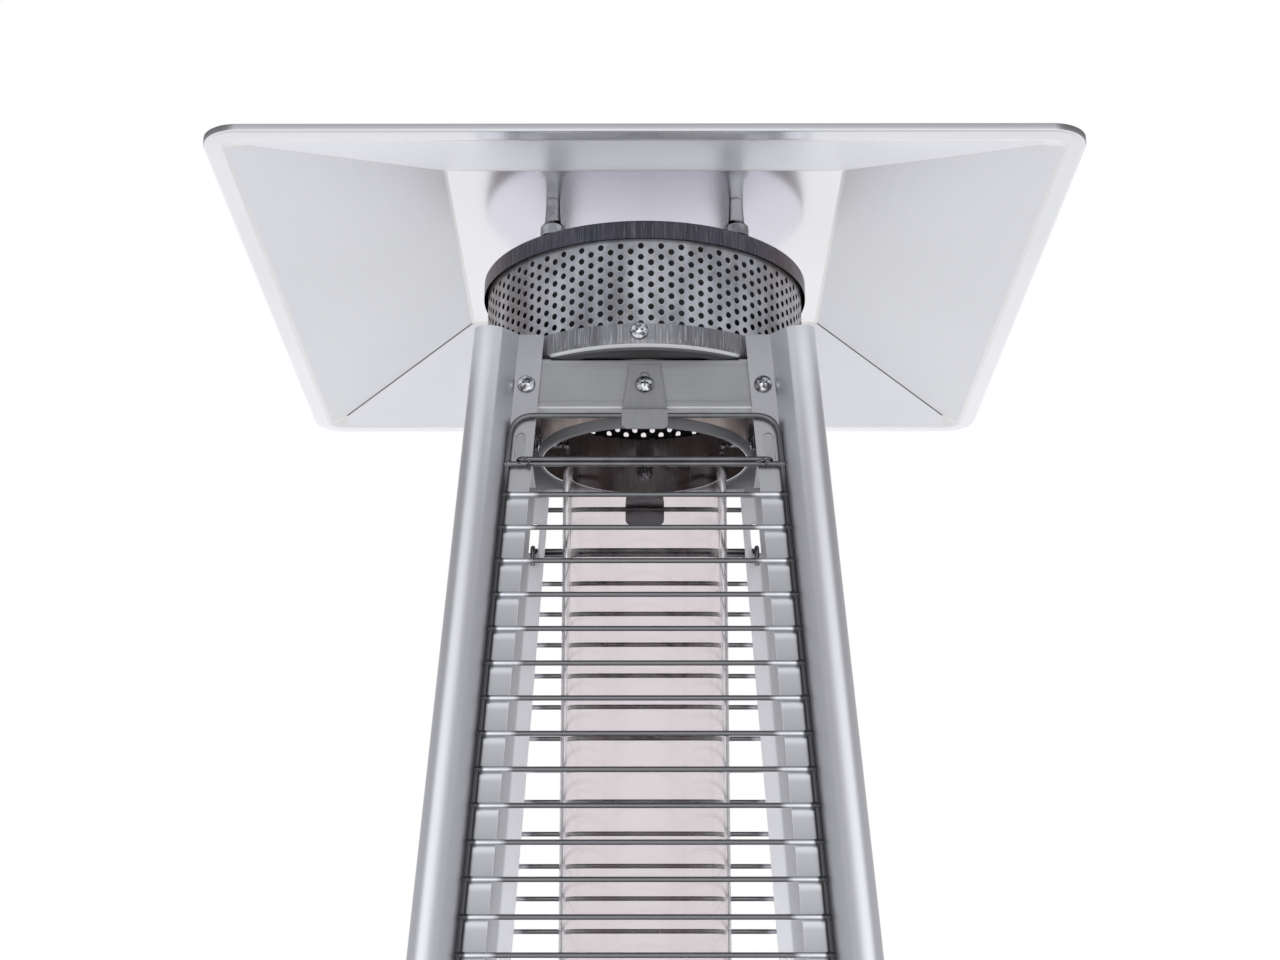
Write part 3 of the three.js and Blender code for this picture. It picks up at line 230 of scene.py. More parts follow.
def painted_flange_face():
    """The outer face of a flange, painted darker than the bead as painted shade, with a painted reflection
    just below each wire of the guard that lies against it.
    """
    # Painted shade: the same aluminium as the bead at about half its level
    look = satin_aluminium("satin_flange_painted_light", 0.47)
    height = look.axes()["Z"]
    wires = look.maths("DIVIDE", look.maths("SUBTRACT", TOP_WIRE * MM, height), WIRE_PITCH * MM)
    # Painted reflection: a lighter band just below each wire, fading towards the next wire
    stops = ((0, 0.62), (0.02, 0.8), (0.2, 0.72), (0.32, 0.5), (0.9, 0.4))
    painted_wire_reflection = look.ramp(look.maths("FRACT", wires), [(place, grey(level)) for place, level in stops])
    above = look.maths("GREATER_THAN", height, WIRE_REFLECTION_SPAN[0] * MM)
    below = look.maths("LESS_THAN", height, WIRE_REFLECTION_SPAN[1] * MM)
    share = look.maths("MULTIPLY", look.maths("MULTIPLY", below, above), 0.85)
    look.set(Base_Color=look.mix(share, look.plain(), painted_wire_reflection))
    return look.material


def lit_inner_face():
    """The inner side of a flange: paler than the bead as painted light, and darker in the corner by the bead
    as painted shade.
    """
    look = satin_aluminium("satin_inside_painted_light", 0.95, 0.1)
    x, y, z = look.axes()
    along = look.maths("ADD", look.maths("MAXIMUM", x, y), look.half_width(z))
    # Painted shade in the corner where the flange meets the bead
    corner = look.spread(along, 0.72, 0, 0.030, 0.0315)
    look.set(Base_Color=look.mix(corner, look.plain(), grey(0.45)))
    return look.material


def brushed_steel(name, level=0.62, rough=(0.24, 0.36), streak=900):
    """Stainless sheet brushed upright, with faint hand marks."""
    look = Look(name, 1, 0.3)
    lines, marks = look.noise((streak, streak, 6), 4, 0.65), look.noise(7, 3, 0.5, 0.4)
    return look.worked(lines, marks, grey(level), grey(level), grey(level * 0.78), rough).material


def hood_steel(name, level, rough, pink=0.0, metallic=1):
    """Bright pressed sheet, very finely brushed."""
    look = Look(name, metallic, rough)
    look.bump(look.noise(4, 2), 0.6)
    lines, haze = look.noise((260, 9, 9), 3, 0.6), look.noise(6)
    tones = grey(level * 0.95, pink), grey(level * 1.03, pink), grey(level * 0.8)
    return look.worked(lines, haze, *tones, (rough * 0.85, rough * 1.15), 0.07, 0.002).material


def heated_steel(name, dark, light, brown, thread, streak=(130, 130, 10), blue=1.0):
    """Steel that the flame has tinted: streaks down the wall, straw and brown patches towards two sides."""
    look = Look(name, 0.8, 0.36)
    streaks = look.noise(streak, 4, 0.6)
    threads = look.noise((1500, 1500, 40), 3, 0.6)
    patches = look.noise((17, 17, 12), 3, 0.5, 0.6)
    sides = look.spread(look.maths("ABSOLUTE", look.axes()["X"]), 0.12, 1, 0.066, 0.092)
    share = look.maths("MULTIPLY", sides, look.spread(patches, brown * 0.3, brown, 0.4, 0.62))
    tones = ((0.38, grey(dark, -0.03)), (0.5, grey((dark + light) / 2, -0.02)), (0.62, grey(light, -0.01)))
    base = look.ramp(streaks, [(place, (r, g, b * blue)) for place, (r, g, b) in tones])
    base = look.over(threads, thread, base, grey(min(light * 2.6, 0.8)), 0.53, 0.66)
    straws = [(0.4, (0.34, 0.235, 0.2)), (0.6, (0.24, 0.14, 0.115)), (0.7, (0.2, 0.17, 0.22))]
    colour = look.mix(share, base, look.ramp(patches, straws))
    look.set(Base_Color=colour, Roughness=look.spread(streaks, 0.26, 0.38))
    return look.bump(threads, 0.008).bump(patches, 0.05).material


def scaled_steel(name, lift, metallic=0.6):
    """Steel close to the flame: dull, dark and brown from heat."""
    look = Look(name, metallic, 0.42)
    patches = look.noise((24, 24, 12), 4, 0.6, 0.5)
    fine = look.noise((700, 700, 60))
    tones = ((0.05, 0.04, 0.042), (0.10, 0.076, 0.072), (0.19, 0.145, 0.132), (0.26, 0.22, 0.21))
    *lifted, bright = [tuple(min(share * lift, 0.8) for share in tone) for tone in tones]
    colour = look.over(fine, 0.3, look.ramp(patches, list(zip((0.3, 0.5, 0.7), lifted))), bright)
    look.set(Base_Color=colour, Roughness=look.spread(patches, 0.3, 0.5))
    return look.bump(fine, 0.012).material


def grey_steel(name="grey_steel", level=0.22, along=0):
    """Dull sheet with fine lines along one axis."""
    look = Look(name, 0.2, 0.5)
    lines = look.noise(tuple(12 if axis == along else 700 for axis in range(3)), 4, 0.6)
    tones = (grey(level * share) for share in (0.88, 1.1, 1.35))
    return look.worked(lines, look.noise(20, 4, 0.6), *tones, (0.48, 0.6)).material


def chrome(name, level, edge, grain=60, low=0.8, tips=False):
    """Plated steel: a painted highlight where it faces the eye and painted shade towards its edges."""
    look = Look(name, 1, 0.1)
    # Patches from darker to brighter; on the screws they stand in for glints, a painted highlight
    marks = look.noise(grain)
    edge_shade_share = look.add("LayerWeight", {"Blend": 0.35})["Facing"]
    face = look.fade(marks, grey(level * low), grey(level), 0.4, 0.6)
    if tips:
        # On the wires: painted shade where they meet the legs, painted glints just beyond them
        x, z = (look.axes()[axis] for axis in "XZ")
        reach = look.maths("SUBTRACT", look.half_width(z, LEG_INSET), look.maths("ABSOLUTE", x))
        stops = ((0, 0.08), (0.03, 0.1), (0.06, 0.85), (0.3, 0.75), (0.38, level), (1, level))
        ends = look.ramp(look.maths("MULTIPLY", reach, 20), [(place, grey(tone)) for place, tone in stops])
        face = look.mix(look.spread(z, 0, 1, 2.07, 2.08), ends, face)
    look.set(Base_Color=look.over(edge_shade_share, 0.92, face, edge, 0.22, 0.62))
    look.set(Roughness=look.spread(marks, 0.06, 0.16))
    return look.bump(look.noise(900), 0.008).material


def glass():
    look = Look("quartz_glass", 0, 0.0, Transmission_Weight=1.0, IOR=1.3)
    waves = look.noise((12, 12, 3), 2)
    look.set(Base_Color=look.fade(waves, (0.815, 0.775, 0.79), (0.845, 0.81, 0.822)))
    return look.bump(waves, 0.03).material


def plastic(name, level, rough, depth=0.02):
    look = Look(name, 0, rough)
    wear = look.noise(40, 4)
    colour = look.fade(wear, grey(level), grey(level * 1.5), 0.35, 0.65)
    look.set(Base_Color=colour, Roughness=look.spread(wear, rough - 0.08, rough + 0.08))
    return look.bump(look.noise(1500, 2), depth).material


def brass():
    look = Look("brass", 1, 0.3)
    wear = look.noise(60, 4, 0.6)
    colour = look.fade(wear, (0.36, 0.25, 0.1), (0.62, 0.46, 0.2))
    look.set(Base_Color=colour, Roughness=look.spread(wear, 0.22, 0.42))
    return look.bump(look.noise(900, 2), 0.006).material


SATIN = satin_aluminium().material
FLANGE = painted_flange_face()
INSIDE = lit_inner_face()
HOOD_FACET = hood_steel("hood_facet", 0.9, 0.36, 0.006, 0.6)
# Painted shade: the left and right facets are a darker copy of the front and back ones
HOOD_SIDE_SHADED = hood_steel("hood_side_painted_shade", 0.79, 0.36, 0.006, 0.6)
HOOD_FLAT = hood_steel("hood_flat", 0.95, 0.2, 0.018)
RIM_STEEL = hood_steel("hood_rim", 0.9, 0.14, 0.01)
# Painted shade: the upturned hem is a darker copy of the rim's steel
HOOD_HEM_SHADED = hood_steel("hood_hem_painted_shade", 0.5, 0.2, 0.01)
# Painted highlight: a pale pink line along the folds and the front hips
HOOD_FOLD_HIGHLIGHT = hood_steel("hood_fold_painted_highlight", 0.97, 0.5, 0.045)
# Painted shade: a dark line along the back hips
HOOD_SHADE_LINE = hood_steel("hood_painted_shade_line", 0.2, 0.4)
CAP_TOP = hood_steel("cap_top", 0.97, 0.16, 0.022)
PANEL = brushed_steel("brushed_stainless")
TURNED = brushed_steel("turned_stainless", 0.5, (0.2, 0.3), 500)
# Painted highlight and painted shade: the roll's bright upper part and its dark foot are light and dark
# copies of one steel
PAN_LIP_HIGHLIGHT = brushed_steel("pan_lip_painted_highlight", 0.6, (0.12, 0.18), 60)
PAN_FOOT_SHADE = brushed_steel("pan_foot_painted_shade", 0.17, (0.3, 0.4), 60)
# Painted highlight: bright steel on the lower half of each screen hole and along the collar hem's lower inner
# edge
EDGE_HIGHLIGHT = brushed_steel("painted_edge_highlight", 0.85, (0.2, 0.3), 60)
SCREEN = heated_steel("heated_screen", 0.22, 0.56, 0.9, 0.06, (34, 34, 16))
BAND = heated_steel("heated_band", 0.15, 0.25, 0.6, 0.5)
CAP_SKIRT = heated_steel("heated_cap", 0.05, 0.08, 0.45, 0.7, blue=1.25)
SCALED = scaled_steel("scaled_steel", 1.7)
# Painted light: the scaled steel lifted fivefold, for the pan's underside and the collar's outer wall
UNDERSIDE_LIT = scaled_steel("pan_underside_painted_light", 5, 0.1)
# Near black inside the head: soot and painted shade, so the screen's holes read dark
SOOT_AND_SHADE = scaled_steel("soot_and_painted_shade_inside", 0.12, 0)
GREY = grey_steel()
GREY_WALL = grey_steel("grey_steel_upright", 0.18, 2)
# Painted light: a paler copy of the crossbars' grey steel for their inner faces and the underside of their
# folds
BAR_INSIDE_LIT = grey_steel("grey_steel_inside_painted_light", 0.6)
HEM = grey_steel("collar_hem", 0.17, 2)
CHROME = chrome("chromed_wire", 0.22, (0.045, 0.042, 0.05), tips=True)
SCREW = chrome("bright_screw", 0.85, (0.02, 0.019, 0.022), 330, 0.12)
STEM = chrome("spacer_steel", 0.42, (0.035, 0.03, 0.032), 60, 0.5)
GLASS = glass()
BLACK = plastic("black_plastic", 0.018, 0.42)
WHITE = plastic("white_mark", 0.55, 0.5, 0.005)
RUBBER = plastic("black_rubber", 0.022, 0.75, 0.05)
BRASS = brass()

# Shapes: points and faces, in millimetres


def polar(radius, angle):
    return radius * cos(angle), radius * sin(angle)


def turns(count):
    """The angles of that many equal steps round a circle."""
    return [2 * pi * i / count for i in range(count)]


def arc(centre, radius, start, end, steps):
    """Points round a centre; angles in degrees."""
    angles = [radians(start + (end - start) * i / steps) for i in range(steps + 1)]
    return [(centre[0] + radius * cos(a), centre[1] + radius * sin(a)) for a in angles]


def circle(centre, radius, steps=16):
    return arc(centre, radius, 0, 360 - 360 / steps, steps - 1)


def box_outline(u0, u1, v0, v1):
    return [(u0, v0), (u1, v0), (u1, v1), (u0, v1)]


def capsule(u, low, high, radius, steps=8):
    """A slot outline, round at both ends."""
    return arc((u, high - radius), radius, 0, 180, steps) + arc((u, low + radius), radius, 180, 360, steps)


def bent(start, control, end, steps):
    """Points of a curve that leaves its start and meets its end towards the control point."""
    shares = [i / steps for i in range(steps + 1)]
    return [
        tuple(a * (1 - t) ** 2 + b * 2 * t * (1 - t) + c * t**2 for a, b, c in zip(start, control, end))
        for t in shares
    ]


def softened(points, reach, steps=4):
    """A line whose inner corners become short curves that start that far before them."""
    reaches = reach if isinstance(reach, (list, tuple)) else [reach] * len(points)
    points = [Vector(p) for p in points]
    out = [points[0]]
    for i in range(1, len(points) - 1):
        corner = points[i]
        if not reaches[i]:
            out.append(corner)
            continue
        before, after = points[i - 1] - corner, points[i + 1] - corner
        start = corner + before.normalized() * min(reaches[i], before.length * 0.49)
        end = corner + after.normalized() * min(reaches[i], after.length * 0.49)
        for k in range(steps + 1):
            t = k / steps
            out.append(start * (1 - t) ** 2 + corner * (2 * t * (1 - t)) + end * t**2)
    return out + [points[-1]]


def thick(path, sheet):
    """A closed section: the path, and back along it one sheet thickness to its left."""
    path = [Vector(p) for p in path]
    offset = []
    for i, point in enumerate(path):
        before = (point - path[i - 1]).normalized() if i else None
        after = (path[i + 1] - point).normalized() if i + 1 < len(path) else None
        before, after = before or after, after or before
        normal = Vector((-before.y - after.y, before.x + after.x)).normalized()
        share = max(normal.dot(Vector((-before.y, before.x))), 0.4)
        offset.append(point + normal * (sheet / share))
    return path + offset[::-1]


def mapped(shape, place):
    points, faces = shape
    return [place(*p) for p in points], faces


def merged(*shapes):
    points, faces = [], []
    for p, f in shapes:
        start = len(points)
        points += p
        faces += [tuple(i + start for i in face) for face in f]
    return points, faces


def loft(rings, caps=True, wrap=False):
    """Closed rings of equal count joined one to the next."""
    count = len(rings[0])
    points = [tuple(p) for ring in rings for p in ring]
    faces = []
    for r in range(len(rings) if wrap else len(rings) - 1):
        a, b = r * count, (r + 1) % len(rings) * count
        for i in range(count):
            j = (i + 1) % count
            faces.append((a + i, a + j, b + j, b + i))
    if caps:
        faces.append(tuple(range(count))[::-1])
        faces.append(tuple(range(len(points) - count, len(points))))
    return points, faces


def lathe(profile, sides=96, wrap=True):
    """A profile of (radius, height) turned about z: closed on itself, or from axis to axis."""
    return loft([[(*polar(r, a), z) for a in turns(sides)] for r, z in profile], False, wrap)


def prism(loops, place, low, high):
    """An outline with holes, carried from low to high by place(u, v, t)."""
    points, faces, start = [], [], 0
    flat = [[Vector((u, v, 0)) for u, v in (tuple(p)[:2] for p in loop)] for loop in loops]
    total = sum(len(loop) for loop in flat)
    for t in (low, high):
        points += [place(p.x, p.y, t) for loop in flat for p in loop]
    for loop in flat:
        for i in range(len(loop)):
            here, onwards = start + i, start + (i + 1) % len(loop)
            faces.append((here, onwards, total + onwards, total + here))
        start += len(loop)
    for tri in tessellate_polygon(flat):
        faces.append(tuple(tri))
        faces.append(tuple(total + i for i in reversed(tri)))
    return points, faces


def tube(points, radii, sides=14):
    """A round rod along points; one radius, or one for each point."""
    points = [Vector(p) for p in points]
    radii = radii if isinstance(radii, (list, tuple)) else [radii] * len(points)
    rings, up = [], None
    for i, point in enumerate(points):
        along = (points[min(i + 1, len(points) - 1)] - points[max(i - 1, 0)]).normalized()
        if up is None:
            up = along.orthogonal().normalized()
        up = (up - along * up.dot(along)).normalized()
        side = along.cross(up)
        rings.append([point + (up * cos(a) + side * sin(a)) * radii[i] for a in turns(sides)])
    return loft(rings)


def block(x0, x1, y0, y1, z0, z1):
    return loft([[(x, y, z) for x, y in box_outline(x0, x1, y0, y1)] for z in (z0, z1)])


def rounded_square(centre, radius, z, steps):
    """A square ring with round corners, whose corner centres lie that far out."""
    quarter = (polar(radius, QUARTER * i / steps) for i in range(steps + 1))
    corner = [(centre + x, centre + y) for x, y in quarter]
    return [
        (x * cos(a) - y * sin(a), x * sin(a) + y * cos(a), z)
        for a in (turn * QUARTER for turn in range(4)) for x, y in corner
    ]


def standing(shape, x, y, z=0):
    return mapped(shape, lambda a, b, c: (a + x, b + y, c + z))


def face_plate(loops, front, sheet):
    """Outlines drawn in x and z on the front face, as thick as the sheet."""
    return prism(loops, lambda x, z, w: on_face(x, w, z), front, front + sheet)


def facing(shape, x, w, z):
    """A turned shape laid with its axis out of the front face, its zero on depth w."""
    return mapped(shape, lambda a, b, c: on_face(x + a, w - c, z + b))


def four_times(shape):
    """The shape and its three copies, each a quarter turn further."""
    copies = []
    for turn in range(4):
        c, s = round(cos(turn * QUARTER)), round(sin(turn * QUARTER))
        copies.append(mapped(shape, lambda x, y, z: (c * x - s * y, s * x + c * y, z)))
    return merged(*copies)


# Meshes and pieces


def raw_mesh(name, shape):
    points, faces = shape
    mesh = bpy.data.meshes.new(name)
    mesh.from_pydata([Vector(p) * MM for p in points], [], faces)
    build = bmesh.new()
    build.from_mesh(mesh)
    bmesh.ops.remove_doubles(build, verts=build.verts, dist=1e-7)
    bmesh.ops.dissolve_degenerate(build, dist=1e-8, edges=build.edges)
    bmesh.ops.recalc_face_normals(build, faces=build.faces)
    build.to_mesh(mesh)
    build.free()
    return mesh


def linked(name, data):
    thing = bpy.data.objects.new(name, data)
    bpy.context.scene.collection.objects.link(thing)
    return thing


def evaluated(holder):
    bpy.context.view_layer.update()
    graph = bpy.context.evaluated_depsgraph_get()
    return bpy.data.meshes.new_from_object(holder.evaluated_get(graph), depsgraph=graph)


def modify(holder, kind, **settings):
    modifier = holder.modifiers.new(kind, kind)
    for name, value in settings.items():
        setattr(modifier, name, value)


def finished_mesh(name, shape, sharp=35, cuts=None, bevel=None):
    """A mesh with its holes cut, its edges eased and its shading settled."""
    holder = linked("holder", raw_mesh(name, shape))
    tool = linked("tool", raw_mesh("tool", cuts)) if cuts else None
    if cuts:
        modify(holder, "BOOLEAN", operation="DIFFERENCE", solver="EXACT", use_self=True, object=tool)
    if bevel:
        modify(holder, "BEVEL", width=bevel * MM, segments=2, limit_method="ANGLE", angle_limit=radians(40))
    holder.data = evaluated(holder)
    holder.modifiers.clear()
    build = bmesh.new()
    build.from_mesh(holder.data)
    bmesh.ops.dissolve_degenerate(build, dist=1e-8, edges=build.edges)
    for face in build.faces:
        face.smooth = True
    for edge in build.edges:
        edge.smooth = len(edge.link_faces) != 2 or edge.calc_face_angle(0) < radians(sharp)
    build.to_mesh(holder.data)
    build.free()
    modify(holder, "WEIGHTED_NORMAL", keep_sharp=True)
    mesh = evaluated(holder)
    mesh.name = name
    bpy.data.objects.remove(holder)
    if tool:
        bpy.data.objects.remove(tool)
    return mesh


def dressed(name, shape, finish, rule=None, **options):
    """A finished mesh with one material, or several that a rule picks by each face's middle and normal."""
    mesh = finished_mesh(name, shape, **options)
    for material in finish if rule else [finish]:
        mesh.materials.append(material)
    for face in mesh.polygons if rule else []:
        face.material_index = rule(face.center / MM, face.normal)
    return mesh


def put(name, mesh, node=None, body="frame", turn=0):
    """One piece of the scene: placed and tied to its body."""
    piece = linked(name, mesh)
    piece.rotation_euler[2] = turn * QUARTER
    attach(piece, body)
    if node:
        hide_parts(node)


def around(name, shape, finish, slot, places, replaced=True, **options):
    """The same piece on each corner or face."""
    mesh = dressed(name, shape, finish, **options)
    for turn, place in enumerate(places):
        put(f"{name}_{place}_look", mesh, f"{name}_{place}" if replaced else None, turn=turn)


def single(name, shape, finish, slot, node=None, body="frame", **options):
    put(f"{name}_look", dressed(name, shape, finish, **options), node, body)


# Corner posts: a hollow bead with two flanges

FLANGE_FACE = 15
FLANGE_BACK = 17
FLANGE_EDGE = 40
BEAD_ROOT = 25.6
FLANK_TOP = (17, 4)
FLANK_FOOT = (24.4, 13)
SHOULDER = 12.6
NOSE_RADIUS = 7
POST_SKIN = 1.6
POST_EASE = 0.4
SLOT_LOW = 2082.5
SLOT_HIGH = 2104
SLOT_HALF = 3
FOOT_HOLE_HALF = 2.3


def bead(inset):
    """The round bead from its flank foot over the nose to the other flank foot."""
    across, up = FLANK_FOOT[0] - FLANK_TOP[0], FLANK_FOOT[1] - FLANK_TOP[1]
    run = hypot(across, up)
    shift = (-inset * up / run, inset * across / run)
    top = (FLANK_TOP[0] + shift[0], FLANK_TOP[1] + shift[1])
    foot = (FLANK_FOOT[0] + shift[0], FLANK_FOOT[1] + shift[1])
    flank = [foot, *bent(top, (SHOULDER, inset), (NOSE_RADIUS, inset), 9)]
    nose = arc((NOSE_RADIUS, NOSE_RADIUS), NOSE_RADIUS - inset, -90, -180, 9)
    return flank + nose[1:-1] + [(q, p) for p, q in reversed(flank)]


def post_section():
    face, back, edge = FLANGE_FACE, FLANGE_BACK, FLANGE_EDGE
    legs = [(back, edge), (back, back), (edge, back), (edge, face), (BEAD_ROOT, face)]
    outside = [*legs, *bead(0), (face, BEAD_ROOT), (face, edge)]
    hollow = bead(POST_SKIN)
    root = hollow[0][0]
    return [outside, [(face, face), (root, face), *hollow, (face, root)]]


def through_flanges(outline):
    """A hole drawn in p and z, cut through both flanges."""
    low, high = FLANGE_FACE - 1, FLANGE_BACK + 1
    near = prism([outline], lambda p, z, q: on_corner(p, q, z), low, high)
    far = prism([outline], lambda p, z, q: on_corner(q, p, z), low, high)
    return merged(near, far)


def post_finish(middle, normal):
    """The outer flange faces take the darker flange finish as painted shade, the inner sides the paler one as
    painted light, the flange edges a painted highlight, and the slot walls grey steel as painted shade.
    """
    outset = middle.x + half_width(middle.z), middle.y + half_width(middle.z)
    at_slot = SLOT_LOW - 1.5 < middle.z < SLOT_HIGH + 1
    for depth, along, out in ((outset[1], outset[0], normal.y), (outset[0], outset[1], normal.x)):
        # Painted shade: the slot walls are dark grey steel
        if at_slot and abs(along - HOOK_INSET) < 4.5 and FLANGE_FACE + 0.1 < depth < FLANGE_BACK - 0.1:
            return 3
        if along > BEAD_ROOT - 0.2 and abs(depth - FLANGE_FACE) < 0.6 and out < -0.9:
            return 1
        if along > FLANGE_BACK + 0.4 and abs(depth - FLANGE_BACK) < 0.6 and out > 0.9:
            return 2
        # Painted highlight along the flange's end edge
        if along > FLANGE_EDGE - 0.6 and depth > FLANGE_FACE - 1:
            return 2
    return 0


half = FOOT_HOLE_HALF
foot_hole = box_outline(LEG_INSET - half, LEG_INSET + half, GUARD_FOOT - half, GUARD_FOOT + half)
hook_slot = capsule(HOOK_INSET, SLOT_LOW, SLOT_HIGH, SLOT_HALF)
post_holes = merged(through_flanges(hook_slot), through_flanges(foot_hole))
POST_LOOKS = (SATIN, FLANGE, INSIDE, GREY_WALL)
for name, low, high, cuts in (
    ("upper_post", POST_SPLIT, POST_TOP, post_holes), ("lower_post", POST_FOOT, POST_SPLIT - SPLIT_GAP, None),
):
    post = prism(post_section(), on_corner, low, high)
    around(name, post, POST_LOOKS, "post_aluminium", CORNERS, rule=post_finish, cuts=cuts, bevel=POST_EASE)

# Screws

HEAD_RADIUS = 5.2
HEAD_HEIGHT = 3.2
DOME_RADIUS = 9
RECESS_ARM = 2.7
RECESS_HALF = 0.55
RECESS_DEPTH = 1.9


def pan_head():
    """A domed head; its seat is at height zero."""
    dome = arc((0, HEAD_HEIGHT - DOME_RADIUS), DOME_RADIUS, 90, 64, 6)[:4]
    rim = [(HEAD_RADIUS * r, HEAD_HEIGHT * z) for r, z in ((0.9, 0.62), (1, 0.3), (1, 0), (0, 0))]
    return lathe(softened(dome + rim, 0.5, 2), 32, False)


def cross_recess():
    """Two crossing slots that narrow downwards."""
    levels = ((HEAD_HEIGHT - RECESS_DEPTH, RECESS_ARM * 0.45), (HEAD_HEIGHT + 1, RECESS_ARM * 1.15))
    rings = [[(a, b, z) for a, b in box_outline(-arm, arm, -RECESS_HALF, RECESS_HALF)] for z, arm in levels]
    slot = loft(rings)
    return merged(slot, mapped(slot, lambda a, b, z: (b, -a, z)))


head_mesh = finished_mesh("screw_head", pan_head(), cuts=cross_recess(), sharp=30)
SCREW_HEAD = [tuple(v.co / MM) for v in head_mesh.vertices], [tuple(p.vertices) for p in head_mesh.polygons]

# Crossbars

BAR_FACE = 17.3
BAR_BACK = 32.3
BAR_TOP = 2151.3
BAR_FOOT = 2120.5
BAR_SHEET = 1.3
BAR_LAP = 0.02
TAB_END = 35.4
NOTCH_END = 55
FOLD_END = 64.1
BAR_END = 81.1
NOTCH_TOP = BAR_TOP - 0.7
GROOVES = (BAR_TOP - 3.6, BAR_FOOT + 4.2)
SCREW_Z = 2134.5


def crossbar_section(top_fold, foot_fold, top):
    """The channel's section, from its top fold to its bottom fold, with two fine rolled lines in its face."""
    path = [(BAR_BACK, top)] if top_fold else []
    path.append((BAR_FACE, top))
    for z in GROOVES:
        for side, rise in ((0, 0.8), (0.22, 0.5), (0, 0.2), (0, -0.2), (0.22, -0.5), (0, -0.8)):
            path.append((BAR_FACE + side, z + rise))
    path.append((BAR_FACE, BAR_FOOT))
    if foot_fold:
        path.append((BAR_BACK, BAR_FOOT))
    reaches = [2 if point[1] in (top, BAR_FOOT) else 0 for point in path]
    return thick(softened(path, reaches, 3), BAR_SHEET)


def crossbar():
    """The channel from the middle out: tab, notch for the pan, plain fold, end without folds."""
    parts = []
    for near, far, top_fold, foot_fold, top in (
        (0, TAB_END, True, True, BAR_TOP),
        (TAB_END - BAR_LAP, NOTCH_END, False, True, NOTCH_TOP),
        (NOTCH_END - BAR_LAP, FOLD_END, False, True, BAR_TOP),
        (FOLD_END - BAR_LAP, BAR_END, False, False, BAR_TOP),
    ):
        section = crossbar_section(top_fold, foot_fold, top)
        for low, high in [(-far, -near), (near, far)] if near else [(-far, far)]:
            parts.append(prism([section], lambda w, z, x: on_face(x, w, z), low, high))
    return merged(*parts)


# The inner faces and the faces underneath take the paler copy as painted light
def bar_finish(middle, normal):
    return 1 if normal.y > 0.7 or normal.z < -0.6 else 0


around("crossbar", crossbar(), (GREY, BAR_INSIDE_LIT), "grey_steel", FACES, rule=bar_finish, sharp=30)
flange_x = half_width(SCREW_Z) - HOOK_INSET
bar_screw_places = ((-flange_x, FLANGE_FACE - 0.3), (flange_x, FLANGE_FACE - 0.3), (0, FLANGE_FACE + 0.5))
bar_screws = merged(*(facing(SCREW_HEAD, x, w, SCREW_Z) for x, w in bar_screw_places))
around("bar_screws", bar_screws, SCREW, "chromed", FACES, replaced=False, sharp=30)

# Guard clips: a tapered plate on the crossbar, a shelf over the guard's top rod and a lip in front of it

CLIP_TOP = 2147.3
CLIP_SHELF = 2116.5
CLIP_FOOT = 2104.5
CLIP_ROUND = 3.5
CLIP_FRONT = 15.8
LIP_FRONT = 9.2
CLIP_SHEET = 1.2
CLIP_TOP_HALF = 8.75
LIP_HALF = 13.25
CLIP_SLOT_LOW = 2130.4
CLIP_SLOT_HIGH = 2142.8
CLIP_SLOT_HALF = 2.9
CLIP_CUT = (12, 6)


def clip_half(z):
    """Half the clip's width at a height."""
    if z > CLIP_SHELF:
        half = CLIP_TOP_HALF + (LIP_HALF - CLIP_TOP_HALF) * (CLIP_TOP - z) / (CLIP_TOP - CLIP_SHELF)
        return half - max(0.5 - (CLIP_TOP - z), 0)
    low = z - CLIP_FOOT
    if low < CLIP_ROUND:
        return LIP_HALF - CLIP_ROUND + sqrt(max(CLIP_ROUND**2 - (CLIP_ROUND - low) ** 2, 0))
    return LIP_HALF


def clip():
    fold = CLIP_SHELF + CLIP_SHEET
    path = [(CLIP_FRONT, CLIP_TOP - 0.4 * i) for i in range(6)]
    path += [(CLIP_FRONT, fold), (LIP_FRONT, fold), (LIP_FRONT, CLIP_FOOT + CLIP_ROUND + 0.2)]
    path += [(LIP_FRONT, CLIP_FOOT + CLIP_ROUND * (1 - k / 7) ** 2) for k in range(1, 8)]
    section = thick(softened(path, [2 if z == fold else 0 for w, z in path], 4), CLIP_SHEET)
    return prism([section], lambda w, z, t: on_face(t * clip_half(z), w, z), -1, 1)


clip_slot = face_plate([capsule(0, CLIP_SLOT_LOW, CLIP_SLOT_HIGH, CLIP_SLOT_HALF)], *CLIP_CUT)
around("guard_clip", clip(), GREY_WALL, "grey_steel", FACES, cuts=clip_slot, sharp=30)

# Wire guards

GUARD_W = 12.7
ROD = 1.6
WIRE = 1.5
HOOK_Z = 2086.6
HOOK_DROP = 12
HOOK_BACK = 22.5
LEG_SHIFT = 1.1
WIRE_ENDS = ((-2.3, 0.7), (-1.4, 1.7), (0, 2.35), (1.4, 2.1), (2.9, 1.6), (4.5, WIRE))


def leg_x(z):
    """The legs close up to the beads a little towards the top."""
    return half_width(z) - LEG_INSET + LEG_SHIFT * (z - GUARD_FOOT) / (GUARD_TOP - GUARD_FOOT)


def mirrored(points):
    """A line that goes on to its own mirror image across x."""
    return points + [(-x, w, z) for x, w, z in reversed(points)]


def weld(x, z, size, chance):
    """A small uneven blob of weld metal."""
    spin = chance.uniform(0, 6)
    points, faces = lathe([(0, -1), (0.75, -0.65), (1, 0.1), (0.6, 0.75), (0, 1)], 8, False)
    grown = []
    for a, b, c in points:
        swell = size * (1 + 0.25 * sin(3 * a + spin) + 0.2 * cos(4 * b - spin))
        grown.append((x + a * swell * 1.3, GUARD_W - 1.2 + b * swell, z + c * swell))
    return grown, faces


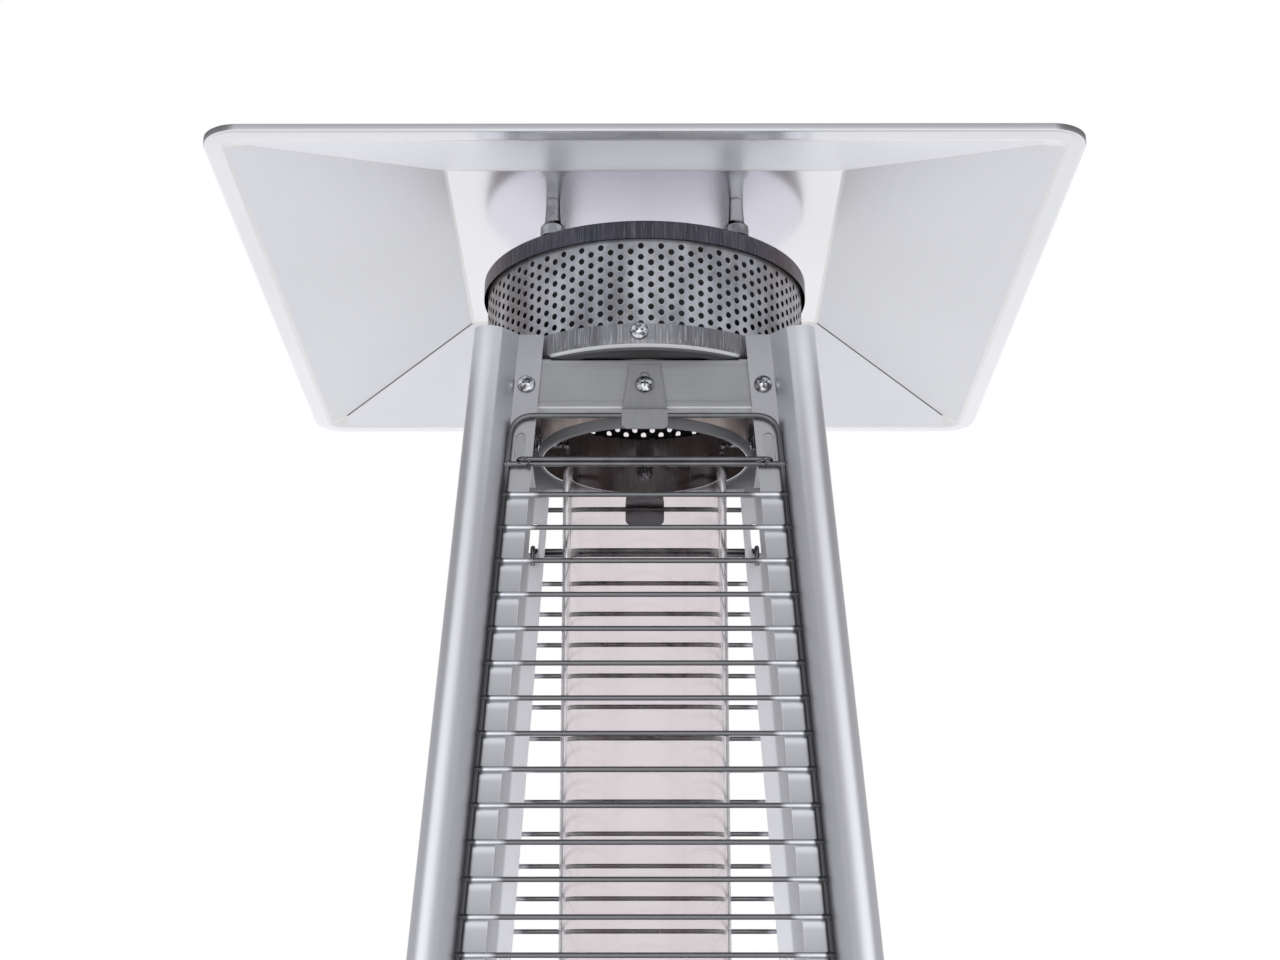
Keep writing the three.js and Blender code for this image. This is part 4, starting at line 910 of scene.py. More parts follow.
def guard():
    """Legs with a top rod, the hook rod, cross wires that swell at their welds, and the hook's welds."""
    chance = random.Random(7)
    foot_x, top_x, hook_x = leg_x(GUARD_FOOT), leg_x(GUARD_TOP), half_width(HOOK_Z) - HOOK_INSET
    legs = mirrored([
        (-foot_x, HOOK_BACK, GUARD_FOOT), (-foot_x, GUARD_W, GUARD_FOOT), (-top_x, GUARD_W, GUARD_TOP),
    ])
    hook = mirrored([
        (-hook_x, HOOK_BACK, HOOK_Z - HOOK_DROP), (-hook_x, HOOK_BACK, HOOK_Z), (-hook_x, GUARD_W, HOOK_Z),
    ])
    parts = [tube(softened(legs, [0, 3.5, 13, 13, 3.5, 0], 8), ROD), tube(softened(hook, 3.5, 5), ROD)]
    heights = [HOOK_Z - 2.9]
    z = TOP_WIRE
    while z > GUARD_FOOT + 3:
        heights.append(z)
        z -= WIRE_PITCH
    ends = [radius for reach, radius in WIRE_ENDS]
    for z in heights:
        line = mirrored([(reach - leg_x(z), GUARD_W, z) for reach, radius in WIRE_ENDS])
        parts.append(tube(line, ends + ends[::-1], 12))
    for side in (-1, 1):
        for i in range(9):
            x = side * (hook_x - i * 0.95 - chance.random())
            parts.append(weld(x, HOOK_Z - 1.7 + chance.uniform(-2.6, 2.2), chance.uniform(0.5, 1.25), chance))
    return mapped(merged(*parts), on_face)


around("wire_guard", guard(), CHROME, "chromed", FACES, sharp=50)

# Head pan with its collar, studs and screws

PAN_Z = 2151.6
PAN_SHEET = 1.2
BAND_RADIUS = 99.6
COLLAR_RADIUS = 64
COLLAR_FOOT = 2117
GLASS_SCREW_Z = 2127.5
BAND_SCREW_Z = 2162.3
STUDS = [(x, -68.8) for x in (-34, 34)]
STUD_FOOT = 2136
STUD_TOP = 2150
NUT_FOOT = 2144.7
NUT_TOP = 2149.7
TIP = 50.5
TIP_NUT = (58.6, 62.4)


def head_pan():
    """Floor on the crossbars, rolled lip and band. The path runs from the collar out."""
    path = [
        (COLLAR_RADIUS, PAN_Z), (82, PAN_Z), (91.5, PAN_Z), (92.3, PAN_Z - 0.7), (96.8, PAN_Z - 0.7),
        (99.5, PAN_Z + 3.4), (BAND_RADIUS, PAN_Z + 15.5),
    ]
    return lathe(thick(softened(path, [0, 0, 0.5, 0.5, 3.2, 3.4, 0], 5), PAN_SHEET), 144)


def collar():
    """The ring round the flame, with its seam at the back."""
    wall = lathe(thick([(COLLAR_RADIUS, COLLAR_FOOT), (COLLAR_RADIUS, 2152.2)], PAN_SHEET), 128)
    low, high = COLLAR_FOOT + 0.5, COLLAR_FOOT + 34
    return merged(wall, block(-7, 7, 61.2, 63.4, low, high), block(-1.2, 1.2, 60.6, 61.4, low, high))


def collar_hem():
    """The hem that is turned up outside round the foot of the collar."""
    foot, top = COLLAR_FOOT - 1, COLLAR_FOOT + 5.4
    start = (62.6, foot + 2.5)
    path = [start, (62.6, foot), (65.3, foot), (65.3, top), (64.1, top), (64.1, COLLAR_FOOT), start]
    return lathe(softened(path, 0.6, 3)[:-1], 128)


def hexagon_nut(radius, low, high):
    """A six-sided nut with eased corners."""
    ease = (high - low) * 0.16
    levels = ((low, 0.86), (low + ease, 1), (high - ease, 1), (high, 0.86))
    return loft([[(*polar(radius * share, a), z) for a in turns(6)] for z, share in levels])


def stud(low, high, radius=2.5, pitch=0.8):
    """A threaded end with a domed tip, hanging down from high."""
    profile = [(0, low), (radius * 0.6, low + 0.25), (radius * 0.9, low + 0.9)]
    z = low + 1.2
    while z < high:
        profile += [(radius, z), (radius * 0.88, z + pitch / 2)]
        z += pitch
    return lathe(profile + [(radius * 0.88, high), (0, high)], 20, False)


def pan_studs():
    one = merged(hexagon_nut(5, NUT_FOOT, NUT_TOP), stud(STUD_FOOT, STUD_TOP))
    return four_times(merged(*(standing(one, x, y) for x, y in STUDS)))


def glass_screws():
    """Four screws through the collar: heads outside, nuts and tips inside, just off the glass."""
    head, tip = standing(SCREW_HEAD, 0, 0, COLLAR_RADIUS - 0.1), stud(TIP, COLLAR_RADIUS - 1.3, 2)
    one = merged(head, tip, hexagon_nut(4.6, *TIP_NUT))
    return four_times(mapped(one, lambda a, b, c: (a, c, b + GLASS_SCREW_Z)))


def radius_of(middle):
    return hypot(middle.x, middle.y)


def outwards(middle, normal):
    """How far a face looks away from the axis, times its distance from it."""
    return normal.x * middle.x + normal.y * middle.y


def pan_finish(middle, normal):
    """Band; the upper roll bright as a painted highlight, the roll's foot dark as painted shade; the
    underside lifted as painted light; soot and painted shade above.
    """
    if normal.z > 0.5:
        return 4
    if middle.z > PAN_Z + 3.6:
        return 0
    return 1 if middle.z > PAN_Z + 1.5 else 2 if radius_of(middle) > 83 else 3


def collar_finish(middle, normal):
    # The collar's outer wall takes the lifted steel as painted light
    return 1 if outwards(middle, normal) > 0 and radius_of(middle) > COLLAR_RADIUS - 0.5 else 0


def hem_finish(middle, normal):
    """A painted highlight along the edge underneath, heated metal inside."""
    if normal.z < -0.5 and radius_of(middle) < COLLAR_RADIUS - 0.4:
        return 1
    return 2 if outwards(middle, normal) < -20 else 0


PAN_LOOKS = (BAND, PAN_LIP_HIGHLIGHT, PAN_FOOT_SHADE, UNDERSIDE_LIT, SOOT_AND_SHADE)
single("head_pan", head_pan(), PAN_LOOKS, "heated_steel", "head_pan", rule=pan_finish, sharp=50)
single("collar", collar(), (SCALED, UNDERSIDE_LIT), "heated_steel", rule=collar_finish, sharp=50)
single("collar_hem", collar_hem(), (HEM, EDGE_HIGHLIGHT, SCALED), "heated_steel", rule=hem_finish, sharp=40)
single("pan_studs", pan_studs(), TURNED, "chromed", sharp=30)
single("glass_screws", glass_screws(), SCREW, "chromed", sharp=30)
band_screw = mapped(SCREW_HEAD, lambda a, b, c: (a - 3, 0.1 - BAND_RADIUS - c, b + BAND_SCREW_Z))
single("band_screw", band_screw, SCREW, "chromed", sharp=30)

# Flame screen and its cap

SCREEN_FOOT = 2156.9
SCREEN_TOP = 2230.7
SCREEN_RADII = (98, 97)
SCREEN_COLUMNS = 103
SCREEN_START = 0.38
STEP = 2 * pi / SCREEN_COLUMNS
FIELD_FOOT = SCREEN_FOOT + 4.0
HOLE_PITCH = 7.0
HOLE_RADIUS = 1.95
HOLE_RING_WIDTH = 0.2
CAP_RADIUS = 100.6
CAP_FOOT = 2220.9
CAP_HEIGHT = 11.5
SHARES = (-1, -0.5, 0, 0.5, 1)


def column_field(column):
    """Where a column's lowest cell starts, and how many cells it has."""
    odd = column % SCREEN_COLUMNS % 2
    return (FIELD_FOOT - HOLE_PITCH / 2, 9) if odd else (FIELD_FOOT, 8)


def flame_screen():
    """The pierced cylinder: a hole in every cell of a staggered grid, drawn flat and rolled up."""
    half_u, half_v = 0.5, HOLE_PITCH / 2
    edge = [(a, -1) for a in SHARES] + [(1, 0)] + [(a, 1) for a in SHARES[::-1]] + [(-1, 0)]
    arc_mm = STEP * sum(SCREEN_RADII) / 2
    points, faces, index = [], [], {}

    def vertex(u, z, layer):
        key = (round(u * 1000) % (SCREEN_COLUMNS * 1000), round(z * 1000), layer)
        if key not in index:
            index[key] = len(points)
            points.append((*polar(SCREEN_RADII[layer], pi + (u + SCREEN_START) * STEP), z))
        return index[key]

    def face(*corners):
        faces.append(tuple(vertex(*place, layer) for place, layer in corners))

    def cell(u, z):
        """Plain metal round one hole, the ring round the hole that takes a painted highlight, the inner side
        and the hole's wall.
        """
        spokes = []
        for eu, ev in edge:
            turn = atan2(ev * half_v, eu * half_u * arc_mm)
            spoke = [(u + eu * half_u, z + ev * half_v)]
            for radius in (HOLE_RADIUS + HOLE_RING_WIDTH, HOLE_RADIUS):
                spoke.append((u + radius * cos(turn) / arc_mm, z + radius * sin(turn)))
            spokes.append(spoke)
        for (o1, b1, n1), (o2, b2, n2) in zip(spokes, spokes[1:] + spokes[:1]):
            face((o1, 0), (o2, 0), (b2, 0), (b1, 0))
            face((b1, 0), (b2, 0), (n2, 0), (n1, 0))
            face((o2, 1), (o1, 1), (n1, 1), (n2, 1))
            face((n1, 0), (n2, 0), (n2, 1), (n1, 1))

    def strip(u, low, high):
        """Plain metal between a column of cells and the edge of the sheet."""
        for a, b in zip(SHARES, SHARES[1:]):
            (p1, p2), (q1, q2) = [((u + side * half_u, low), (u + side * half_u, high)) for side in (a, b)]
            face((p1, 0), (q1, 0), (q2, 0), (p2, 0))
            face((q1, 1), (p1, 1), (p2, 1), (q2, 1))
            for p, q in ((p1, q1), (p2, q2)):
                if p[1] in (SCREEN_FOOT, SCREEN_TOP):
                    face((p, 0), (p, 1), (q, 1), (q, 0))

    for column in range(SCREEN_COLUMNS):
        low, rows = column_field(column)
        for row in range(rows):
            cell(column, low + (row + 0.5) * HOLE_PITCH)
        strip(column, SCREEN_FOOT, low)
        strip(column, low + rows * HOLE_PITCH, SCREEN_TOP)
    return points, faces


def head_cap():
    """Flat cap with a short skirt. The path runs up the skirt and in over the top."""
    top = CAP_FOOT + CAP_HEIGHT
    section = thick(softened([(CAP_RADIUS, CAP_FOOT), (CAP_RADIUS, top), (0, top)], 1.6, 4), 1.4)
    return lathe([(max(r, 0), z) for r, z in section], 144, False)


def screen_finish(middle, normal):
    """Soot and painted shade inside, and a painted highlight along the lower half of each hole."""
    radius = radius_of(middle)
    if outwards(middle, normal) < -0.5 * radius:
        return 2
    place = (atan2(middle.y, middle.x) - pi) % (2 * pi) / STEP - SCREEN_START
    column = round(place)
    low, rows = column_field(column)
    row = (middle.z - low) / HOLE_PITCH
    up = (row % 1 - 0.5) * HOLE_PITCH
    away = hypot(up, (place - column) * STEP * radius)
    near = away < HOLE_RADIUS + HOLE_RING_WIDTH and 0 < row < rows
    if near and radius < SCREEN_RADII[0] - 0.2:
        return 2
    return 1 if near and up < 0.2 else 0


def cap_finish(middle, normal):
    # Top bright, underside soot and painted shade, skirt heated steel
    return 1 if normal.z > 0.7 else 2 if normal.z < -0.9 else 0


for name, shape, finish, rule in (
    ("flame_screen", flame_screen(), (SCREEN, EDGE_HIGHLIGHT, SOOT_AND_SHADE), screen_finish),
    ("head_cap", head_cap(), (CAP_SKIRT, CAP_TOP, SOOT_AND_SHADE), cap_finish),
):
    single(name, shape, finish, "heated_steel", name, rule=rule, sharp=40)

# Hood: half widths from the flat to the rim, and its spacers

HOOD_TOP = 2256.8
HOOD_RIM = 2220.3
HOOD_FLAT_HALF = 117
HOOD_SHOULDER = 214
RIM_START = 226.5
RIM_END = 237.5
HEM_HEIGHT = 4.5
HOOD_SHEET = 1.0
SPACER_X = 55
SPACER_Y = 75
SPACER_FOOT = 2232.7


def hood_corner(half):
    """The hips are tight folds that open out at the shoulder; the rim has large round corners."""
    fold = min(max(half - HOOD_SHOULDER - 0.6, 0) / 11.4, 1)
    edge = min(max(half - 226, 0) / 11.5, 1)
    return 1.2 + 8.8 * fold + 11 * edge


def hood():
    drop = (HOOD_TOP - HOOD_RIM) * (HOOD_SHOULDER - HOOD_FLAT_HALF) / (RIM_START - HOOD_FLAT_HALF)
    path = [
        (20, HOOD_TOP), (HOOD_FLAT_HALF, HOOD_TOP), (HOOD_SHOULDER, HOOD_TOP - drop), (RIM_START, HOOD_RIM),
        (RIM_END, HOOD_RIM), (RIM_END, HOOD_RIM + HEM_HEIGHT),
    ]
    rings = []
    for half, z in thick(softened(path, [0, 1.4, 0, 1.6, 1.8, 0], 4), HOOD_SHEET):
        radius = max(min(hood_corner(half), half - 1), 0.5)
        rings.append(rounded_square(half - radius, radius, z, 12))
    return loft(rings)


def hood_finish(middle, normal):
    """Flat, facets, folds, rim and hem are brushed differently; the left and right facets and the hem are
    painted darker as painted shade, the folds and front hips carry a painted highlight line and the back hips
    a painted shade line.
    """
    half = max(abs(middle.x), abs(middle.y))
    corner = min(abs(middle.x), abs(middle.y))
    # The upturned hem's outer face takes the darker hem copy as painted shade
    if abs(normal.z) < 0.5 and middle.z > HOOD_RIM + 1 and outwards(middle, normal) > 0:
        return 5
    if half > RIM_START + 0.9:
        return 2
    # Painted highlight along the folds by the rim and by the flat
    if half > RIM_START - 1.3 or HOOD_FLAT_HALF - 1.1 < half < HOOD_FLAT_HALF + 0.8:
        return 3
    if half < HOOD_FLAT_HALF - 1:
        return 1
    # Hips: a painted shade line at the back, a painted highlight at the front
    if half - corner < 9 and abs(abs(normal.x) - abs(normal.y)) < 0.27:
        return 4 if middle.y > 0 and half < HOOD_SHOULDER - 9 else 3
    # Left and right facets take the darker copy as painted shade
    return 0 if abs(middle.y) > abs(middle.x) else 6


def spacer():
    """Collar, flare and stem under the hood, washer and dome nut on it."""
    foot, nut_foot = SPACER_FOOT, HOOD_TOP + 1.2
    stem = [
        (0, foot), (7.4, foot), (7.4, foot + 5.9), (7.0, foot + 6.7), (6.2, foot + 7.2), (5.6, foot + 8.1),
        (4.9, foot + 9.3), (4.6, foot + 13.3), (4.3, foot + 18.3), (4.2, HOOD_TOP), (0, HOOD_TOP),
    ]
    dome = [(5 * cos(a), nut_foot + 3.3 + 4.8 * sin(a)) for a in (i * pi / 16 for i in range(9))]
    dome = lathe([(0, nut_foot), (5.4, nut_foot), *dome], 32, False)
    nut = hexagon_nut(6, nut_foot - 0.1, nut_foot + 3.2)
    return merged(lathe(softened(stem, 0.5, 3), 40, False), dome, nut)


HOOD_LOOKS = (HOOD_FACET, HOOD_FLAT, RIM_STEEL, HOOD_FOLD_HIGHLIGHT, HOOD_SHADE_LINE, HOOD_HEM_SHADED, HOOD_SIDE_SHADED)
single("hood", hood(), HOOD_LOOKS, "stainless", "hood", rule=hood_finish, sharp=40)
spacer_mesh = dressed("hood_spacer", spacer(), STEM, sharp=35)
for (across, deep), corner in zip(((-1, -1), (1, -1), (1, 1), (-1, 1)), CORNERS):
    mesh = spacer_mesh.copy()
    mesh.transform(Matrix.Translation((across * SPACER_X * MM, deep * SPACER_Y * MM, 0)))
    put(f"hood_spacer_{corner}_look", mesh, f"hood_spacer_{corner}")

# Glass, its seat and the burner

DECK_TOP = 848.6
DECK_SHEET = 2


def glass_tube():
    inner, outer, foot, top = 47.2, 50, DECK_TOP + 2.3, 2129
    middle = (48.6, foot)
    wall = [middle, (inner, foot), (inner, top), (outer, top), (outer, foot), middle]
    return lathe(softened(wall, 0.8, 3), 128)


def glass_seat():
    foot, floor, top = DECK_TOP, DECK_TOP + DECK_SHEET, DECK_TOP + 15
    return lathe([(44, foot), (53.5, foot), (53.5, top), (51.5, top), (51.5, floor), (44, floor)], 96)


def burner():
    """Mixing tube, flange on the deck and bowl with its rim turned in."""
    floor = DECK_TOP + DECK_SHEET
    outside = [(9, 796.6), (11, 796.6), (11, 838), (15, 840), (15, DECK_TOP), (42, DECK_TOP), (42, floor)]
    bowl = [(31, floor), (31, 884), (15, 894.6), (7.5, 894.6), (7.5, 892.6), (14, 892.6), (29, 883)]
    return lathe([*outside, *bowl, (29, floor), (9, DECK_TOP)], 72)


def burner_ports():
    ports = []
    for a in ((i + 0.5) * pi / 3 for i in range(6)):
        c, s = cos(a), sin(a)
        port = block(20, 40, -3.2, 3.2, 862, 876)
        ports.append(mapped(port, lambda x, y, z: (x * c - y * s, x * s + y * c, z)))
    return merged(*ports)


single("glass_tube", glass_tube(), GLASS, "flame_glass", "glass_tube", sharp=60)
single("glass_seat", glass_seat(), GREY_WALL, "grey_steel", "glass_seat", bevel=0.3)
single("burner", burner(), GREY_WALL, "grey_steel", "burner", cuts=burner_ports(), sharp=30)

# Housing: panels between the posts, plates in front

PANEL_TOP = 846
PANEL_FOOT = 54.8
PANEL_W = 17.3
PLATE_W = 4.7
PLATE_INSET = 29
PLATE_DEPTH = 10
SHEET = 1.2
VENT_ROWS = (786, 144.8)
VENT_PITCH = 34
VENT_HALF = 21
VENT_RADIUS = 4
PANEL_INSET = 30
PANEL_FOLD = 12
CONTROL_FOOT = 720
CONTROL_Z = 786
KNOB_X = 42
IGNITER_X = -52


def trapezoid(inset, low, high):
    a, b = half_width(low) - inset, half_width(high) - inset
    return [(-a, low), (a, low), (b, high), (-b, high)]


def vented_panel():
    """A panel with two rows of vents, folded in at the top."""
    holes = [
        capsule((i - 1.5) * VENT_PITCH, z - VENT_HALF, z + VENT_HALF, VENT_RADIUS, 6)
        for z in VENT_ROWS for i in range(4)
    ]
    half = half_width(PANEL_TOP) - PANEL_INSET - 15
    fold = block(-half, half, 0, PANEL_FOLD, PANEL_TOP - SHEET, PANEL_TOP)
    plate = face_plate([trapezoid(PANEL_INSET, PANEL_FOOT, PANEL_TOP), *holes], PANEL_W, SHEET)
    return merged(plate, mapped(fold, lambda x, y, z: on_face(x, PANEL_W + y, z)))


def folded_plate(low, high):
    """A front sheet with its edges folded back, round at the folds."""
    def ring(grow, w):
        return [on_face(x, PLATE_W + w, z) for x, z in trapezoid(PLATE_INSET - grow, low - grow, high + grow)]

    outer = [(0, PLATE_DEPTH), (0, 1.6), (-0.5, 0.5), (-1.6, 0)]
    inner = [(-1.4, SHEET), (-0.4, SHEET + 0.4), (0, 1.9), (0, PLATE_DEPTH)]
    inner = [(grow - SHEET, w) for grow, w in inner]
    points, faces = merged(*(loft([ring(*place) for place in side], False) for side in (outer, inner)))
    count = 4 * len(outer)
    last = count - 4
    faces += [tuple(range(last, count)), tuple(range(count, count + 4))]
    faces += [(i, (i + 1) % 4, count + last + (i + 1) % 4, count + last + i) for i in range(4)]
    return points, faces


panel = dressed("panel", vented_panel(), PANEL, bevel=0.25)
for turn, place in enumerate(FACES):
    if place != "front":
        put(f"{place}_panel_look", panel, f"{place}_panel", turn=turn)
control_holes = merged(*(
    face_plate([circle((x, CONTROL_Z), radius, 32)], 2, 8) for x, radius in ((KNOB_X, 8), (IGNITER_X, 11.4))
))
control_panel = folded_plate(CONTROL_FOOT, PANEL_TOP)
single("control_panel", control_panel, PANEL, "stainless", "control_panel", cuts=control_holes, sharp=50)

# Door, its hinges and its handle

PIN = (24.5, 5.5)
BARREL_RADIUS = 3
BARREL_LENGTH = 13
HINGES = {"lower": 170, "upper": 625}
DOOR_FOOT = 80
DOOR_TOP = 715
HANDLE_LOW = 374.25
HANDLE_HIGH = 484.25


def upright(outlines, low, high):
    return prism(outlines, on_corner, low, high)


def knuckle(z):
    """The door's half of a hinge: an eye over the pin and the arm that joins it to the door."""
    low, high = z + 0.7, z + BARREL_LENGTH
    eye = upright([circle(PIN, BARREL_RADIUS, 24), circle(PIN, 2.2, 24)], low, high)
    return merged(eye, upright([box_outline(27, 30.4, PLATE_W, PLATE_W + SHEET)], low, high))


def hinge(z):
    """The post's half: a leaf on the flange, an arm, a barrel and the pin."""
    arm = [(26.5, 4.8), (28.4, 4.8), (28.4, 14), (27, 14), (27, 6.2), (26.5, 6.2)]
    leaf, barrel, pin = box_outline(27, 38, 13.2, 14.7), circle(PIN, BARREL_RADIUS, 24), circle(PIN, 1.9, 20)
    return merged(
        upright([leaf], z - 18, z + 18), upright([arm], z - BARREL_LENGTH, z),
        upright([barrel], z - BARREL_LENGTH, z), upright([pin], z - 6, z + 13.6),
    )


def door_handle():
    """A bent bar on two washers."""
    x = half_width((HANDLE_LOW + HANDLE_HIGH) / 2) - 77
    root = PLATE_W - 0.3
    places = ((root, HANDLE_LOW), (root - 21, HANDLE_LOW), (root - 21, HANDLE_HIGH), (root, HANDLE_HIGH))
    bar = softened([(x, w, z) for w, z in places], 9, 8)
    washer = lathe([(0, 0), (8, 0), (8, 1.2), (6.5, 2), (0, 2)], 32, False)
    washers = [facing(washer, x, root, z) for z in (HANDLE_LOW, HANDLE_HIGH)]
    return merged(mapped(tube(bar, 5, 24), on_face), *washers)


notches = merged(*(upright([box_outline(0, 40.4, 12, 16)], z - 20, z + 20) for z in HINGES.values()))
door_panel = merged(folded_plate(DOOR_FOOT, DOOR_TOP), *(knuckle(z) for z in HINGES.values()))
single("door_panel", door_panel, PANEL, "stainless", "door_panel", "door", cuts=notches, sharp=50)
for place, z in HINGES.items():
    single(f"door_hinge_{place}", hinge(z), GREY_WALL, "grey_steel", f"door_hinge_{place}", bevel=0.15)
single("door_handle", door_handle(), TURNED, "grey_steel", "door_handle", "door", sharp=40)

# Controls, which stand on a plane that leans with the control panel

KNOB_SKIRT = 24
KNOB_FOOT = 5.5
KNOB_TOP = 25.5
IGNITER_LENGTH = 52


def on_fascia(shape, x):
    """Own z straight out of the control panel."""
    spin = Matrix.Rotation(QUARTER - atan(LEAN), 4, "X")
    origin = Vector((x, PLATE_W - half_width(CONTROL_Z), CONTROL_Z))
    points, faces = shape
    return [tuple(origin + spin @ Vector(p)) for p in points], faces


def knob():
    """Skirt and body, the bar to grip, and ribs round the body."""
    skirt = [(0, KNOB_FOOT), (KNOB_SKIRT - 0.8, KNOB_FOOT), (KNOB_SKIRT, 6.5), (KNOB_SKIRT, 8.6)]
    profile = skirt + [(20.6, 12), (20, 13.2), (19.6, 23.4), (18, KNOB_TOP), (0, KNOB_TOP)]
    outline = [(4.5, -15.8), (4.5, 15.8), (3.2, 16.8)]
    outline += [(-3.2, 16.8), (-4.5, 15.8), (-4.5, -15.8), (-3.2, -16.8), (3.2, -16.8)]
    rings = [
        [(x * share, y * (1 - (1 - share) * 0.25), z) for x, y in outline]
        for z, share in ((22, 1), (30.5, 0.92), (32, 0.7), (32.4, 0.45))
    ]
    ribs = [tube([(*polar(20.1, a), 13.4), (*polar(19.7, a), 22.6)], 0.55, 6) for a in turns(36)]
    return merged(lathe(softened(profile, 0.8, 3), 96, False), loft(rings), *ribs)


def igniter_body():
    end, seat = -IGNITER_LENGTH, -10.3
    bezel = [(8, 3.4), (8.4, 4), (12.6, 4), (14, 2.4), (14, 0.3)]
    return lathe(bezel + [(10.5, 0.3), (10.5, end), (3.8, end), (3.8, seat), (8, seat)], 64)


def igniter_button():
    profile = [(0, -26), (3.5, -26), (3.5, -5), (7.6, -5), (7.6, 8), (5.4, 9), (0, 9)]
    return lathe(softened(profile, 0.9, 3), 48, False)


mark = block(-0.6, 0.6, 9.5, 14.6, 32.2, 32.5)
for name, shape, x, finish, node, body, sharp in (
    ("control_knob", knob(), KNOB_X, BLACK, "control_knob", "knob", 40),
    ("knob_mark", mark, KNOB_X, WHITE, None, "knob", 35),
    ("igniter_body", igniter_body(), IGNITER_X, BLACK, "igniter_body", "frame", 35),
    ("igniter_button", igniter_button(), IGNITER_X, BLACK, "igniter_button", "button", 50),
):
    single(name, on_fascia(shape, x), finish, "black_plastic", node, body, sharp=sharp)

# Base: tray, feet, axle, wheels

TRAY_HALF = 252.0
TRAY_CORNER = 8
TRAY_FOOT = 34
TRAY_TOP = 75
FOOT_PLACE = 222
WHEEL_X = 180
WELL_HALF = 10.8
WELL_REACH = 27.5
AXLE_Y = 224.0
AXLE_Z = 27
AXLE_HALF = 196


def tray():
    """The tray's wall and floor, rolled at the top, and an ear on each side of each wheel."""
    low, high = TRAY_FOOT, TRAY_TOP
    section = [(2.5, low), (0.8, low + 0.6), (0, low + 2.5), (0, high - 0.4), (0.4, high)]
    section += [(1.1, high), (1.5, high - 0.4), (1.5, low + 2.8), (2.2, low + 1.9), (3.6, low + 1.5)]
    centre = TRAY_HALF - TRAY_CORNER
    parts = [loft([rounded_square(centre, TRAY_CORNER - inset, z, 8) for inset, z in section])]
    for x in (-WHEEL_X, WHEEL_X):
        for low_x in (x - WELL_HALF - 2, x + WELL_HALF):
            parts.append(block(low_x, low_x + 2, AXLE_Y - 10, AXLE_Y + 10, AXLE_Z - 7, TRAY_FOOT + 0.6))
    return merged(*parts)


def well(x):
    """The cut in the tray that a wheel turns in."""
    low, high = AXLE_Z - 1, AXLE_Z + WELL_REACH
    return block(x - WELL_HALF, x + WELL_HALF, AXLE_Y - WELL_REACH, TRAY_HALF + TRAY_CORNER, low, high)


def along_axle(profile, sides, x=0, wrap=True):
    return mapped(lathe(profile, sides, wrap), lambda a, b, c: (x + c, AXLE_Y + a, AXLE_Z + b))


def both_ways(half):
    """A profile and its mirror image at the other end."""
    return half + [(r, -c) for r, c in reversed(half)]


wells = merged(well(-WHEEL_X), well(WHEEL_X))
single("base_tray", tray(), PANEL, "stainless", "base_tray", cuts=wells, sharp=50)
foot = lathe(softened([(0, 0), (19.2, 0), (20, 1), (17.4, 30), (17, 33.7), (0, 33.7)], 0.8, 3), 64, False)
around("foot", standing(foot, -FOOT_PLACE, -FOOT_PLACE), RUBBER, "rubber", CORNERS, sharp=40)
axle = both_ways([
    (0, -AXLE_HALF), (4, -AXLE_HALF), (5.6, 0.8 - AXLE_HALF), (6, 1.6 - AXLE_HALF), (6, 2.9 - AXLE_HALF),
    (4, 2.9 - AXLE_HALF),
])
single("wheel_axle", along_axle(axle, 32, wrap=False), TURNED, "grey_steel", "wheel_axle", sharp=30)
tyre = both_ways([
    (18.5, -8), (19.6, -8.6), (21.8, -8.8), (24.2, -8),
    (24.9, -5), (24.9, -3.2), (24.2, -2.7), (24.2, -2.1), (25, -1.6),
])
hub = both_ways([(4.3, -10), (8, -10), (9, -9), (10, -6.6), (16.5, -6.2), (17.5, -7.6), (18.6, -7.6)])
for x, place in ((-WHEEL_X, "left"), (WHEEL_X, "right")):
    body = f"{place}_wheel"
    single(f"wheel_{place}", along_axle(tyre, 96, x), RUBBER, "rubber", f"wheel_{place}", body, sharp=40)
    single(f"hub_{place}", along_axle(hub, 64, x), BLACK, "black_plastic", None, body, sharp=35)

# CAD nodes that keep their shape get a finish
KEPT = {
    GREY_WALL: ("cylinder_ring", "door_magnet"), BRASS: ("gas_valve", "valve_stem", "gas_pipe"),
    TURNED: ("pilot_bracket",), PANEL: ("deck_plate",), BLACK: ("tilt_switch",),
}
for material, names in KEPT.items():
    for name in names:
        nodes[name].data.materials.clear()
        nodes[name].data.materials.append(material)

# Surroundings, floor and light

FLOOR_RADIUS = 12000


def cleared(owner):
    """The empty node tree of a world or a material."""
    owner.use_nodes = True
    owner.node_tree.nodes.clear()
    return Nodes(owner.node_tree)


